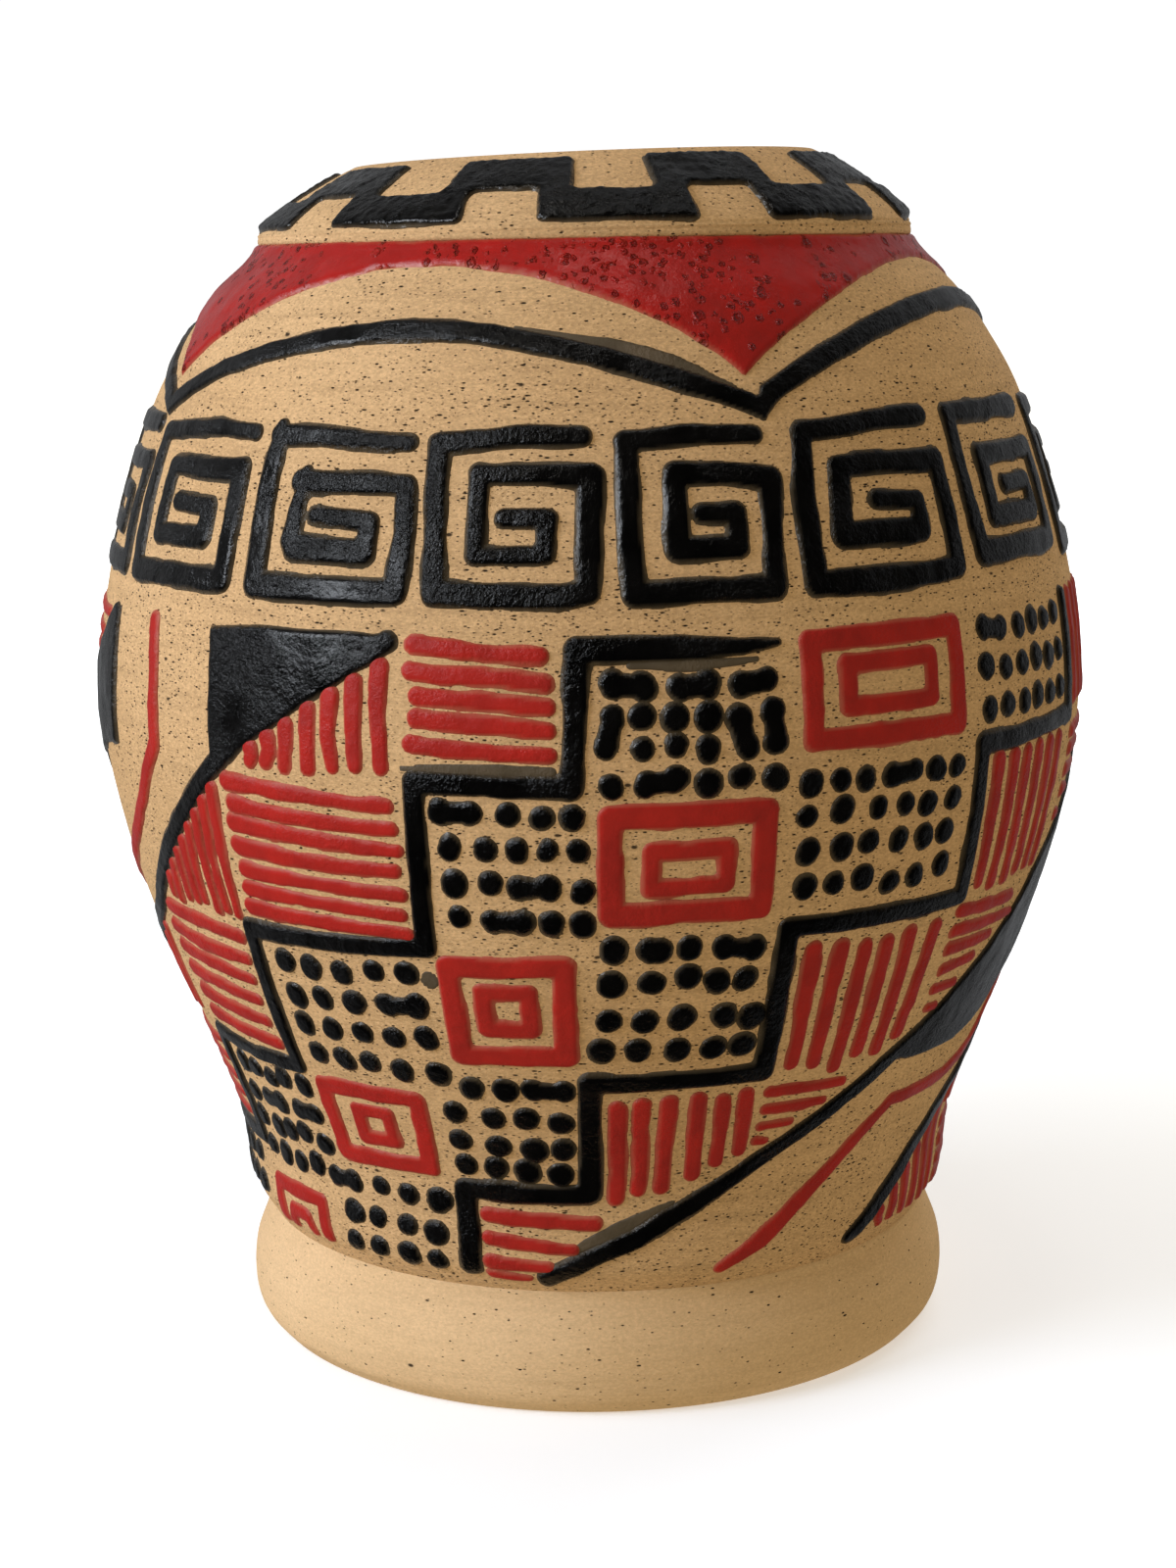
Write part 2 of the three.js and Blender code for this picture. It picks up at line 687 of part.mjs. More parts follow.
function fieldBars({ across, first, last, count, from, to }, stations, isLeft) {
  const places = Array.from({ length: count }, (_, i) => first + (last - first) * i / (count - 1));
  const bars = places.map((place) => {
    if (across) {
      const z = panelHeightAt(place);
      const end = isLeft ? to : Math.min(to, readOff(stations, highColumn, z - borderReach, angleColumn));
      return [[from, z], [end, z]];
    }
    const [low, high] = [panelHeightAt(from), panelHeightAt(to)];
    const bottom = readOff(stations, angleColumn, place, highColumn) + borderReach;
    const top = readOff(stations, angleColumn, place, lowColumn) - borderReach;
    return isLeft
      ? [[place, low], [place, Math.min(high, top)]]
      : [[place, Math.max(low, bottom)], [place, high]];
  });
  const lengthOf = ([[phiFrom, zFrom], [phiTo, zTo]]) => (
    (phiTo - phiFrom) * Math.PI / 180 * wallRadius(zFrom) + zTo - zFrom
  );
  return bars.filter((bar) => lengthOf(bar) > shortestBar);
}

function solidOf(geometry) {
  const bare = geometry.clone();
  bare.deleteAttribute('normal');
  const merged = mergeVertices(bare);
  const vertProperties = merged.getAttribute('position').array;
  return new wasm.Manifold(new wasm.Mesh({ numProp: 3, vertProperties, triVerts: merged.index.array }));
}

function joinedBody(bodies) {
  const mesh = bodies.map(solidOf).reduce((whole, solid) => whole.add(solid)).getMesh();
  const geometry = new THREE.BufferGeometry();
  geometry.setAttribute('position', new THREE.BufferAttribute(mesh.vertProperties, 3));
  geometry.setIndex(new THREE.BufferAttribute(mesh.triVerts, 1));
  geometry.computeVertexNormals();
  return geometry;
}

// The shortest way from a bar's end in one field to a bar's end in the next
function threadBetween(barsBefore, barsAfter) {
  const length = ([[phiFrom, zFrom], [phiTo, zTo]]) => (
    Math.hypot((phiTo - phiFrom) * Math.PI / 180 * wallRadius(zFrom), zTo - zFrom)
  );
  const ways = barsBefore.flat().flatMap((start) => barsAfter.flat().map((end) => [start, end]));
  return ways.reduce((best, way) => (length(way) < length(best) ? way : best));
}

// The bars of a field are drawn to and fro without lifting the slip trailer. A thin thread of slip
// runs on to the next field, so the hatching of a side is one body.
function hatching(fields, stations, isLeft, turn) {
  const groups = fields.map((field) => fieldBars(field, stations, isLeft));
  const zigzags = groups.map((bars) => bars.flatMap((bar, i) => (i % 2 ? [...bar].reverse() : bar)));
  const threads = groups.slice(1).map((bars, i) => threadBetween(groups[i], bars));
  const drawn = (paths, width) => paths.map((path) => (
    strokeBody(path.map(([phi, z]) => [phi + turn, z]), width)
  ));
  return joinedBody([...drawn(zigzags, hatchStroke), ...drawn(threads, threadStroke)]);
}

function addPanel(side, turn) {
  const black = (name, geometry) => addPiece(`${side}_${name}`, geometry, slipMaterial(blackColour));
  const red = (name, geometry) => addPiece(`${side}_${name}`, geometry, slipMaterial(redColour));
  black('upper_steps', strokeBody(panelPath(upperSteps, turn), blackStroke));
  black('lower_steps', strokeBody(panelPath(lowerSteps, turn), blackStroke));
  black('left_border', filledBody(leftStations(turn), sailRows, wallRadius));
  black('right_border', filledBody(rightStations(turn), sailRows, wallRadius));
  red('left_hatching', hatching(leftFields, leftStations(0), true, turn));
  red('right_hatching', hatching(rightFields, rightStations(0), false, turn));
  red('gap_line', strokeBody(panelPath(redGapLine, turn), redStroke));
  squares.forEach(({ outer, inner }, i) => {
    red(`square_${i + 1}_outer`, strokeBody(squarePath(outer, turn, redStroke), redStroke, true));
    red(`square_${i + 1}_inner`, strokeBody(squarePath(inner, turn, redStroke), redStroke, true));
  });
  red('arch_outer', strokeBody(panelPath(archOuter, turn), redStroke));
  red('arch_inner', strokeBody(panelPath(archInner, turn), redStroke));
}

addPanel('front', 0);
addPanel('back', 180);

export default vase;
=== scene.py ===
import math
import random
from typing import Callable, NamedTuple

import bpy
import numpy as np
from mathutils import Matrix, Vector
from mathutils.geometry import delaunay_2d_cdt


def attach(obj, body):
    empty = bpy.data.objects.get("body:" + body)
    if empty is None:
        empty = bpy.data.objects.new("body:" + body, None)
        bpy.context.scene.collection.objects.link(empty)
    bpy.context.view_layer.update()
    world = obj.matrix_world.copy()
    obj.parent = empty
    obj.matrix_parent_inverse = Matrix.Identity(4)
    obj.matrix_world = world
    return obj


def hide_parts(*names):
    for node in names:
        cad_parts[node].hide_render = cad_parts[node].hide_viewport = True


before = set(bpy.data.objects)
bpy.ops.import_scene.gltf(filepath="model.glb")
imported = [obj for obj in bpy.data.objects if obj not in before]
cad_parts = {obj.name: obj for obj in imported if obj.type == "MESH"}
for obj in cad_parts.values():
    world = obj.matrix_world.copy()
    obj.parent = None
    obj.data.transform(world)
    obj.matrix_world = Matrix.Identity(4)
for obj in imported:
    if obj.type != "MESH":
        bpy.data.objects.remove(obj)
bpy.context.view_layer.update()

# A hand-thrown vase with raised slip. Lengths are millimetres and angles are degrees round the vase
# from the front (-Y) towards +X, until a mesh is made, which is in metres.
MM = 0.001

# The clay's outline, as in the frame's solids
FOOT_HEIGHT = 20.0
WAIST_HEIGHT = 24.5
BELLY_HEIGHT = 110.0
LEDGE_HEIGHT = 181.5
COLLAR_EDGE = 1.5
RIM_HEIGHT = 194.0
FOOT_RADIUS = 60.1
GROOVE_RADIUS = 56.8
WAIST_RADIUS = 59.3
BELLY_RADIUS = 82.0
LEDGE_RADIUS = 53.2
COLLAR_RADIUS = 53.6
RIM_RADIUS = 38.5
COLLAR_CURVE = 1.35
WALL = 6.0
NECK_BORE = 46.0
LIP = 4.2
LEDGE_TILT = 0.25
RIM_TILT = 1.6

FOOT_SHAPE = [(0, 0.05), (0.14, 0.78), (0.35, 1), (0.57, 0.88), (0.78, 0.42), (0.93, 0.03), (1, 0)]
SWELL_SHAPE = [(0.145, 0.08), (0.31, 0.3), (0.5, 0.587), (0.69, 0.82), (0.88, 0.969), (1, 1)]
SHOULDER_SHAPE = [
    (0.19, 0.955), (0.42, 0.825), (0.65, 0.63), (0.77, 0.47), (0.88, 0.275), (0.965, 0.055), (1, 0),
]


def stretch(shape, low, high, low_radius, high_radius):
    """Stations of one stretch of the outline, as heights and radii."""
    return [(low + rise * (high - low), low_radius + swell * (high_radius - low_radius))
            for rise, swell in shape]


OUTLINE = (
    stretch(FOOT_SHAPE, 0, FOOT_HEIGHT, GROOVE_RADIUS, FOOT_RADIUS)
    + [(WAIST_HEIGHT, WAIST_RADIUS)]
    + stretch(SWELL_SHAPE, WAIST_HEIGHT, BELLY_HEIGHT, WAIST_RADIUS, BELLY_RADIUS)
    + stretch(SHOULDER_SHAPE, BELLY_HEIGHT, LEDGE_HEIGHT, LEDGE_RADIUS, BELLY_RADIUS)
)


def smooth_through(stations, x):
    """A smooth curve through stations, with the slope of the neighbours at each."""
    xs, ys = np.array(stations, float).T
    slopes = np.gradient(ys, xs)
    slopes[1:-1] = (ys[2:] - ys[:-2]) / (xs[2:] - xs[:-2])
    i = np.clip(np.searchsorted(xs, x) - 1, 0, len(xs) - 2)
    width = xs[i + 1] - xs[i]
    t = np.clip((x - xs[i]) / width, 0, 1)
    return (ys[i] * (1 + 2 * t) * (1 - t) ** 2 + slopes[i] * width * t * (1 - t) ** 2
            + ys[i + 1] * t ** 2 * (3 - 2 * t) + slopes[i + 1] * width * t ** 2 * (t - 1))


def wall_radius(z):
    return smooth_through(OUTLINE, z)


def collar_radius(z):
    start = LEDGE_HEIGHT + COLLAR_EDGE
    share = np.clip((z - start) / (RIM_HEIGHT - start), 0, 1)
    return COLLAR_RADIUS - (COLLAR_RADIUS - RIM_RADIUS) * share ** COLLAR_CURVE


def slope_of(radius_of, z):
    return radius_of(z + 0.5) - radius_of(z - 0.5)


def leaned(x, z):
    """Height after the hand-made lean of the ledge and the rim."""
    wall_share = np.clip((z - FOOT_HEIGHT) / (LEDGE_HEIGHT - FOOT_HEIGHT), 0, 1)
    collar_share = np.clip((z - LEDGE_HEIGHT) / (RIM_HEIGHT - LEDGE_HEIGHT), 0, 1)
    tilt = LEDGE_TILT * wall_share + (RIM_TILT - LEDGE_TILT) * collar_share
    return z + x * np.tan(np.radians(tilt))


def surface_point(radius_of, phi, z, lift):
    """Points lifted off a clay surface along its normal."""
    slope = slope_of(radius_of, z)
    length = np.hypot(1, slope)
    radius = radius_of(z) + lift / length
    angle = np.radians(phi)
    x = radius * np.sin(angle)
    return np.stack([x, -radius * np.cos(angle), leaned(x, z - lift * slope / length)], -1)


NOISE_STRIDES = np.array([374761393, 668265263, 974711])
NOISE_SEED_STRIDE = 1442695041
NOISE_SCRAMBLE = 1274126177


def noise(points, size, seed):
    """Smooth noise from -1 to 1, whose lumps are about size millimetres across."""
    q = points / size
    cell = np.floor(q).astype(np.int64)
    t = q - cell
    t = t * t * (3 - 2 * t)
    total = np.zeros(q.shape[:-1])
    for step in np.ndindex(2, 2, 2):
        bits = ((cell + step) @ NOISE_STRIDES + seed * NOISE_SEED_STRIDE) & 0x7FFFFFFF
        bits = ((bits ^ (bits >> 13)) * NOISE_SCRAMBLE) & 0x7FFFFFFF
        value = ((bits ^ (bits >> 16)) & 0xFFFF) / 32767.5 - 1
        total += np.prod(np.where(step, t, 1 - t), axis=-1) * value
    return total


# Meshes

def side_by_side(*columns):
    """Columns, such as the first, second and third corners of faces, as one row for each."""
    return np.stack(columns, 1)


def new_object(name, points, faces, material):
    mesh = bpy.data.meshes.new(name)
    mesh.from_pydata((np.asarray(points) * MM).tolist(), [], [list(map(int, f)) for f in faces])
    mesh.polygons.foreach_set("use_smooth", [True] * len(mesh.polygons))
    mesh.materials.append(material)
    mesh.update()
    piece = bpy.data.objects.new(name, mesh)
    bpy.context.scene.collection.objects.link(piece)
    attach(piece, "root")
    return piece


# Shapes drawn on a surface. Each gives how far a point lies inside it, in millimetres.

class Shape(NamedTuple):
    """A drawn shape: depth(phi, z, per_phi, per_z) and the box [phi low, phi high, z low, z high]."""

    depth: Callable
    box: list


FAR = 1e9
BOX_MARGIN = 2
STROKE_MARGIN = 1.5


def box_round(path, reach):
    angles, heights = zip(*(point[:2] for point in path))
    return [min(angles) - reach, max(angles) + reach, min(heights) - reach, max(heights) + reach]


def from_segment(start, end, phi, z, per_phi, per_z):
    """How far along a segment a point lies, from 0 to 1, and its distance from there in millimetres."""
    ax, ay = (phi - start[0]) * per_phi, (z - start[1]) * per_z
    bx, by = (end[0] - start[0]) * per_phi, (end[1] - start[1]) * per_z
    share = np.clip((ax * bx + ay * by) / np.maximum(bx * bx + by * by, 1e-9), 0, 1)
    return share, np.hypot(ax - share * bx, ay - share * by)


def line(path, width=0):
    """A stroke along a path of (angle, height) points. A third number is the width at that point."""
    points = [(*point, width)[:3] for point in path]
    if len(points) == 1:
        points *= 2

    def depth(phi, z, per_phi, per_z):
        deepest = np.full(np.shape(phi), -FAR)
        for start, end in zip(points, points[1:]):
            share, gap = from_segment(start, end, phi, z, per_phi, per_z)
            half = (start[2] + share * (end[2] - start[2])) / 2
            deepest = np.maximum(deepest, half - gap)
        return deepest

    return Shape(depth, box_round(points, max(point[2] for point in points) / 2 + STROKE_MARGIN))


def area(outline):
    """A filled shape inside a closed outline."""
    closed = [*outline, outline[0]]

    def depth(phi, z, per_phi, per_z):
        inside = np.zeros(np.shape(phi), bool)
        edge = np.full(np.shape(phi), FAR)
        for start, end in zip(closed, closed[1:]):
            edge = np.minimum(edge, from_segment(start, end, phi, z, per_phi, per_z)[1])
            if start[1] != end[1]:
                spans = (start[1] > z) != (end[1] > z)
                crossing = start[0] + (z - start[1]) * (end[0] - start[0]) / (end[1] - start[1])
                inside ^= spans & (phi < crossing)
        return np.where(inside, edge, -edge)

    return Shape(depth, box_round(outline, BOX_MARGIN))


def band(low_of, high_of, low, high):
    """A band right round the vase between two height curves."""

    def depth(phi, z, per_phi, per_z):
        return np.minimum(z - low_of(phi), high_of(phi) - z) * per_z

    return Shape(depth, [-180, 180, low - BOX_MARGIN, high + BOX_MARGIN])


def together(shapes):
    """Shapes that run into each other."""
    boxes = np.array([s.box for s in shapes])

    def depth(phi, z, per_phi, per_z):
        return np.maximum.reduce([s.depth(phi, z, per_phi, per_z) for s in shapes])

    return Shape(depth, [boxes[:, 0].min(), boxes[:, 1].max(), boxes[:, 2].min(), boxes[:, 3].max()])


# Slip relief

SINK = 0.35
EDGE_LIFT = -0.05
EDGE_ROUNDNESS = 2.2
FRINGE_LIFT = 0.07
FRINGE_RAMP = 0.2
COVER = "cover"
COVER_RAMP = 0.35
LEAST_DEPTH = 0.1

# Sizes of the noise's lumps, in millimetres
SWAY_LUMPS = 7
RAGGED_LUMPS = 2.6
FINE_RAGGED_LUMPS = 1.1
FINE_RAGGED_SHARE = 0.4
FRINGE_LUMPS = 5
ROLL_LUMPS = 3.5


class Slip(NamedTuple):
    """How a slip lies: its height, how wide its rounded edge is, and how unsteady the hand was.

    Its fringe is the thin slip that ran out past the edge, here and there.
    """

    height: float = 0.6
    edge: float = 0.85
    sway: float = 0.22
    ragged: float = 0.17
    step: float = 0.5
    relief: Callable = None
    roll: float = 0.1
    fringe: float = 0.0


def marching(depth, triangles):
    """Triangles inside the zero line. Returns faces on grid and edge vertices, the edges, and the rim."""
    inside = depth[triangles] > 0
    count = inside.sum(1)

    def odd_one_first(inside_count):
        """Corners of the triangles with so many inside, from the one that differs from the other two."""
        some = triangles[count == inside_count]
        flags = inside[count == inside_count]
        odd = np.argmax(flags if inside_count == 1 else ~flags, axis=1)
        rows = np.arange(len(some))
        return [some[rows, (odd + k) % 3] for k in range(3)]

    a, b, c = odd_one_first(1)
    p, q, r = odd_one_first(2)
    pairs = [side_by_side(*pair) for pair in ((a, b), (a, c), (p, q), (p, r))]
    pairs = np.sort(np.concatenate(pairs), axis=1)
    unique, index = np.unique(pairs, axis=0, return_inverse=True)
    ends = np.cumsum([len(a), len(a), len(p)])
    ab, ac, pq, pr = np.split(index.reshape(-1) + len(depth), ends)
    faces = [triangles[count == 3]]
    faces += [side_by_side(*face) for face in ((a, ab, ac), (pq, q, r), (pq, r, pr))]
    rim = np.concatenate([side_by_side(ab, ac), side_by_side(pr, pq)])
    return np.concatenate(faces), unique, rim


def edges_of(face):
    return [tuple(sorted((face[k], face[(k + 1) % 3]))) for k in range(3)]


def closed_underside(flat, rim):
    """Triangles inside the closed rims: a flood from the hull, which turns over at each rim edge."""
    _, _, faces, origin, _, _ = delaunay_2d_cdt([Vector(p) for p in flat], rim.tolist(), [], 0, 1e-7)
    names = [o[0] if o else -1 for o in origin]
    walls = {tuple(sorted(e)) for e in rim.tolist()}
    owners = {}
    for number, face in enumerate(faces):
        for edge in edges_of(face):
            owners.setdefault(edge, []).append(number)

    def is_wall(edge):
        return tuple(sorted((names[edge[0]], names[edge[1]]))) in walls

    inside = [None] * len(faces)
    waiting = []
    for edge, (owner, *others) in owners.items():
        if not others and inside[owner] is None:
            inside[owner] = is_wall(edge)
            waiting.append(owner)
    while waiting:
        number = waiting.pop()
        for edge in edges_of(faces[number]):
            for other in owners[edge]:
                if inside[other] is None:
                    inside[other] = inside[number] != is_wall(edge)
                    waiting.append(other)
    kept = [[names[v] for v in face] for face, used in zip(faces, inside) if used]
    return np.array([face for face in kept if -1 not in face and len(set(face)) == 3], int).reshape(-1, 3)


def grid_of(columns, rows):
    """Column and row numbers of a grid's points, each as one long list."""
    return [g.reshape(-1) for g in np.meshgrid(columns, rows, indexing="ij")]


def drawn_depth(shape, slip, phi, z, per_phi, per_z, base):
    """How deep each point lies in the shape as an unsteady hand draws it, and its fringe's width."""
    swayed_phi = phi + slip.sway * noise(base, SWAY_LUMPS, 1) / per_phi
    swayed_z = z + slip.sway * noise(base, SWAY_LUMPS, 2) / per_z
    depth = shape.depth(swayed_phi, swayed_z, per_phi, per_z)
    ragged = noise(base, RAGGED_LUMPS, 3) + FINE_RAGGED_SHARE * noise(base, FINE_RAGGED_LUMPS, 4)
    fringe = slip.fringe * np.clip(0.3 + 1.4 * noise(base, FRINGE_LUMPS, 6), 0, 1)
    depth = depth + slip.ragged * ragged + fringe
    least = LEAST_DEPTH * slip.step
    return np.where(np.abs(depth) < least, np.where(depth > 0, least, -least), depth), fringe


def cut_points(depth, phi, z, edges):
    """Where the zero line crosses the edges."""
    start, end = edges.T
    share = depth[start] / (depth[start] - depth[end])
    turn = phi[end] - phi[start]
    turn -= 360 * np.round(turn / 360)
    return phi[start] + share * turn, z[start] + share * (z[end] - z[start])


def slip_mesh(shape, slip, radius_of, around):
    """Points and faces of one drawn shape as raised slip on a clay surface, and the cover at each point."""
    phi_low, phi_high, z_low, z_high = shape.box
    middle = np.array((z_low + z_high) / 2)
    mean_radius = float(radius_of(middle))
    mean_slant = math.hypot(1, float(slope_of(radius_of, middle)))
    columns = int(math.ceil((phi_high - phi_low) * math.pi / 180 * mean_radius / slip.step))
    rows = int(math.ceil((z_high - z_low) * mean_slant / slip.step)) + 1
    angles = np.linspace(phi_low, phi_high, columns + 1)
    if around:
        angles = angles[:-1]
    phi, z = grid_of(angles, np.linspace(z_low, z_high, rows))
    per_phi = radius_of(z) * math.pi / 180
    per_z = np.hypot(1, slope_of(radius_of, z))
    base = surface_point(radius_of, phi, z, 0)
    depth, fringe = drawn_depth(shape, slip, phi, z, per_phi, per_z, base)

    i, j = grid_of(np.arange(columns), np.arange(rows - 1))
    low_left, low_right = i * rows + j, (i + 1) % len(angles) * rows + j
    corners = np.concatenate([
        side_by_side(low_left, low_right, low_right + 1),
        side_by_side(low_left, low_right + 1, low_left + 1),
    ])
    faces, cut_edges, rim = marching(depth, corners[(depth[corners] > 0).any(1)])
    cut_phi, cut_z = cut_points(depth, phi, z, cut_edges)

    rise = np.clip((depth - fringe) / slip.edge, 0, 1)
    lift = slip.height * (1 - (1 - rise) ** EDGE_ROUNDNESS)
    lift = np.maximum(lift, FRINGE_LIFT * np.clip(depth / FRINGE_RAMP, 0, 1))
    lift = lift * (1 + slip.roll * noise(base, ROLL_LUMPS, 5))
    if slip.relief:
        lift = lift + slip.relief(phi, z, per_phi, per_z, base) * np.minimum(rise * 2, 1)
    cover = np.clip((depth - fringe) / COVER_RAMP, 0, 1)
    edge_cover = 0 if slip.fringe else 1

    used = np.unique(faces)
    count = len(used)
    phi = np.concatenate([phi, cut_phi])[used]
    z = np.concatenate([z, cut_z])[used]
    lift = np.concatenate([lift, np.full(len(cut_phi), EDGE_LIFT)])[used]
    cover = np.concatenate([cover, np.full(len(cut_phi), edge_cover)])[used]
    place = np.full(len(depth) + len(cut_phi), -1)
    place[used] = np.arange(count)
    faces, rim = place[faces], place[rim]
    lowered = np.arange(count) if around else np.unique(rim)
    top = surface_point(radius_of, phi, z, lift)
    below = surface_point(radius_of, phi[lowered], z[lowered], np.full(len(lowered), -SINK))
    low_of = np.full(count, -1)
    low_of[lowered] = np.arange(len(lowered)) + count
    if around:
        under = low_of[faces][:, ::-1]
    else:
        flat = side_by_side(phi[lowered] * math.pi / 180 * mean_radius, z[lowered] * mean_slant)
        under = closed_underside(flat, low_of[rim] - count)[:, ::-1] + count
    first, second = rim.T
    skirt = np.concatenate([
        side_by_side(second, first, low_of[first]),
        side_by_side(second, low_of[first], low_of[second]),
    ])
    cover = np.concatenate([cover, np.ones(len(below))])
    return np.concatenate([top, below]), np.concatenate([faces, skirt, under]), cover


def add_slip(name, shapes, slip, material, slot, nodes=(), radius_of=wall_radius, around=False):
    """One piece of raised slip, of one or more shapes that don't touch."""
    all_points, all_faces, covers, count = [], [], [], 0
    for shape in shapes:
        points, faces, cover = slip_mesh(shape, slip, radius_of, around)
        all_points.append(points)
        all_faces.append(faces + count)
        covers.append(cover)
        count += len(points)
    piece = new_object(name, np.concatenate(all_points), np.concatenate(all_faces), material)
    attribute = piece.data.attributes.new(COVER, "FLOAT", "POINT")
    attribute.data.foreach_set("value", np.concatenate(covers))
    if nodes:
        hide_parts(*nodes)


# Materials

def node_tree(name):
    material = bpy.data.materials.new(name)
    material.use_nodes = True
    tree = material.node_tree
    return material, tree, tree.nodes["Principled BSDF"]


def connect(tree, value, socket):
    """Sets a socket to a value, or links it to another node's socket."""
    if isinstance(value, bpy.types.NodeSocket):
        tree.links.new(value, socket)
    else:
        socket.default_value = value


def set_inputs(tree, node, **inputs):
    """Sets or links a node's inputs. An underscore stands for a space in an input's name."""
    for key, value in inputs.items():
        connect(tree, value, node.inputs[key.replace("_", " ")])


def add_node(tree, kind, operation=None, **inputs):
    node = tree.nodes.new(kind)
    if operation:
        node.operation = operation
    set_inputs(tree, node, **inputs)
    return node


def stretched(tree, scale):
    """Object coordinates, squeezed along each axis."""
    plain = tree.nodes.new("ShaderNodeTexCoord").outputs["Object"]
    return add_node(tree, "ShaderNodeMapping", Vector=plain, Scale=scale).outputs["Vector"]


def noise_node(tree, vector, scale, detail=2, roughness=0.5):
    node = add_node(tree, "ShaderNodeTexNoise", Vector=vector, Scale=scale, Detail=detail,
                    Roughness=roughness)
    return node.outputs["Fac"]


def warped(tree, vector, scale, reach):
    """Coordinates pushed about by noise, as far as reach in metres."""
    pushes = add_node(tree, "ShaderNodeTexNoise", Vector=vector, Scale=scale)
    node = add_node(tree, "ShaderNodeVectorMath", "MULTIPLY_ADD")
    for socket, value in zip(node.inputs, (pushes.outputs["Color"], (reach, reach, reach), vector)):
        connect(tree, value, socket)
    return node.outputs["Vector"]


def ramp(tree, value, low, high, from_value=0.0, to_value=1.0):
    node = add_node(tree, "ShaderNodeMapRange", Value=value, From_Min=low, From_Max=high,
                    To_Min=from_value, To_Max=to_value)
    return node.outputs["Result"]


def maths(tree, operation, first, second):
    node = add_node(tree, "ShaderNodeMath", operation)
    connect(tree, first, node.inputs[0])
    connect(tree, second, node.inputs[1])
    return node.outputs["Value"]


def mixed(tree, factor, first, second):
    """Colour mix. Each colour is a tuple or a socket."""
    node = tree.nodes.new("ShaderNodeMix")
    node.data_type = "RGBA"
    tree.links.new(factor, node.inputs["Factor"])
    for socket, colour in ((node.inputs[6], first), (node.inputs[7], second)):
        connect(tree, (*colour, 1) if isinstance(colour, tuple) else colour, socket)
    return node.outputs[2]


def chosen_cells(tree, vector, scale, share):
    """A Voronoi pattern's distance to each cell's middle, and 1 in the share of the cells that is chosen."""
    cells = add_node(tree, "ShaderNodeTexVoronoi", Vector=vector, Scale=scale)
    split = add_node(tree, "ShaderNodeSeparateColor", Color=cells.outputs["Color"])
    return cells.outputs["Distance"], maths(tree, "LESS_THAN", split.outputs["Red"], share)


def specks(tree, vector, scale, size, share):
    """Round spots, from 0 to 1."""
    distance, chosen = chosen_cells(tree, vector, scale, share)
    return maths(tree, "MULTIPLY", chosen, ramp(tree, distance, size, size * 0.55))


def craters(tree, vector, scale, size, share):
    """Burst bubbles: the holes, and the raised ring round each."""
    distance, chosen = chosen_cells(tree, vector, scale, share)
    hole = ramp(tree, distance, size, size * 0.6)
    ring = ramp(tree, distance, size * 1.7, size * 1.1)
    return maths(tree, "MULTIPLY", chosen, hole), maths(tree, "MULTIPLY", chosen, ring)


def add_bumps(tree, shader, *layers):
    """Bumps on top of each other, each a (height, strength, distance in metres)."""
    normal = None
    for height, strength, distance in layers:
        node = add_node(tree, "ShaderNodeBump", Height=height, Strength=strength, Distance=distance)
        if normal:
            tree.links.new(normal, node.inputs["Normal"])
        normal = node.outputs["Normal"]
    tree.links.new(normal, shader.inputs["Normal"])


# Layers of specks: how much they are drawn out, cells per metre, size in cells, share, strength and stain
SPECK_LAYERS = [
    (1.6, 1300, 0.27, 0.6, 0.6, (0.12, 0.07, 0.035)),
    (2.2, 850, 0.24, 0.75, 0.95, (0.03, 0.017, 0.008)),
    (2.4, 560, 0.2, 0.6, 1.0, (0.018, 0.01, 0.006)),
    (3.0, 330, 0.16, 0.4, 1.0, (0.016, 0.009, 0.005)),
    (1.8, 200, 0.13, 0.16, 0.95, (0.03, 0.018, 0.01)),
]


def clay_material(name, light, dark, speck_share, grain, streak):
    """Sandy stoneware: broad tone, turning streaks, sandy grain, dark grog specks and dragged pits."""
    material, tree, shader = node_tree(name)
    plain = stretched(tree, (1, 1, 1))
    rings = stretched(tree, (1, 1, 14))
    drawn = stretched(tree, (1, 1, 2))
    tone = noise_node(tree, plain, 26, 4)
    lines = noise_node(tree, rings, 45, 5, 0.65)
    sand = noise_node(tree, drawn, 1500, 3, 0.7)
    patches = noise_node(tree, plain, 110, 3)
    height = add_node(tree, "ShaderNodeSeparateXYZ", Vector=plain)
    colour = mixed(tree, ramp(tree, tone, 0.3, 0.7), light, dark)
    darker = tuple(c * 0.7 for c in dark)
    colour = mixed(tree, ramp(tree, lines, 0.45, 0.75, 0, streak), colour, darker)
    paler = tuple(min(1, c * 1.35) for c in light)
    colour = mixed(tree, ramp(tree, sand, 0.5, 0.7, 0, grain), colour, paler)
    colour = mixed(tree, ramp(tree, sand, 0.5, 0.34, 0, grain), colour, darker)
    crowd = ramp(tree, patches, 0.35, 0.65, speck_share * 0.45, speck_share * 1.55)
    fewer_above = ramp(tree, height.outputs["Z"], 0.158, 0.172, 1, 0.55)
    crowd = maths(tree, "MULTIPLY", crowd, fewer_above)
    marks = []
    for draw, scale, size, share, strength, stain in SPECK_LAYERS:
        chosen = maths(tree, "MULTIPLY", crowd, share)
        spots = specks(tree, stretched(tree, (1, 1, draw)), scale, size, chosen)
        marks.append(spots)
        colour = mixed(tree, maths(tree, "MULTIPLY", spots, strength), colour, stain)
    rough = ramp(tree, sand, 0.3, 0.7, 0.78, 0.95)
    set_inputs(tree, shader, Base_Color=colour, Roughness=rough, Specular_IOR_Level=0.25)
    holes = maths(tree, "SUBTRACT", 1.0, maths(tree, "MAXIMUM", marks[2], marks[3]))
    add_bumps(tree, shader, (sand, 0.6 * grain + 0.1, 0.0004), (lines, 0.4, 0.0004), (holes, 0.8, 0.0004))
    return material


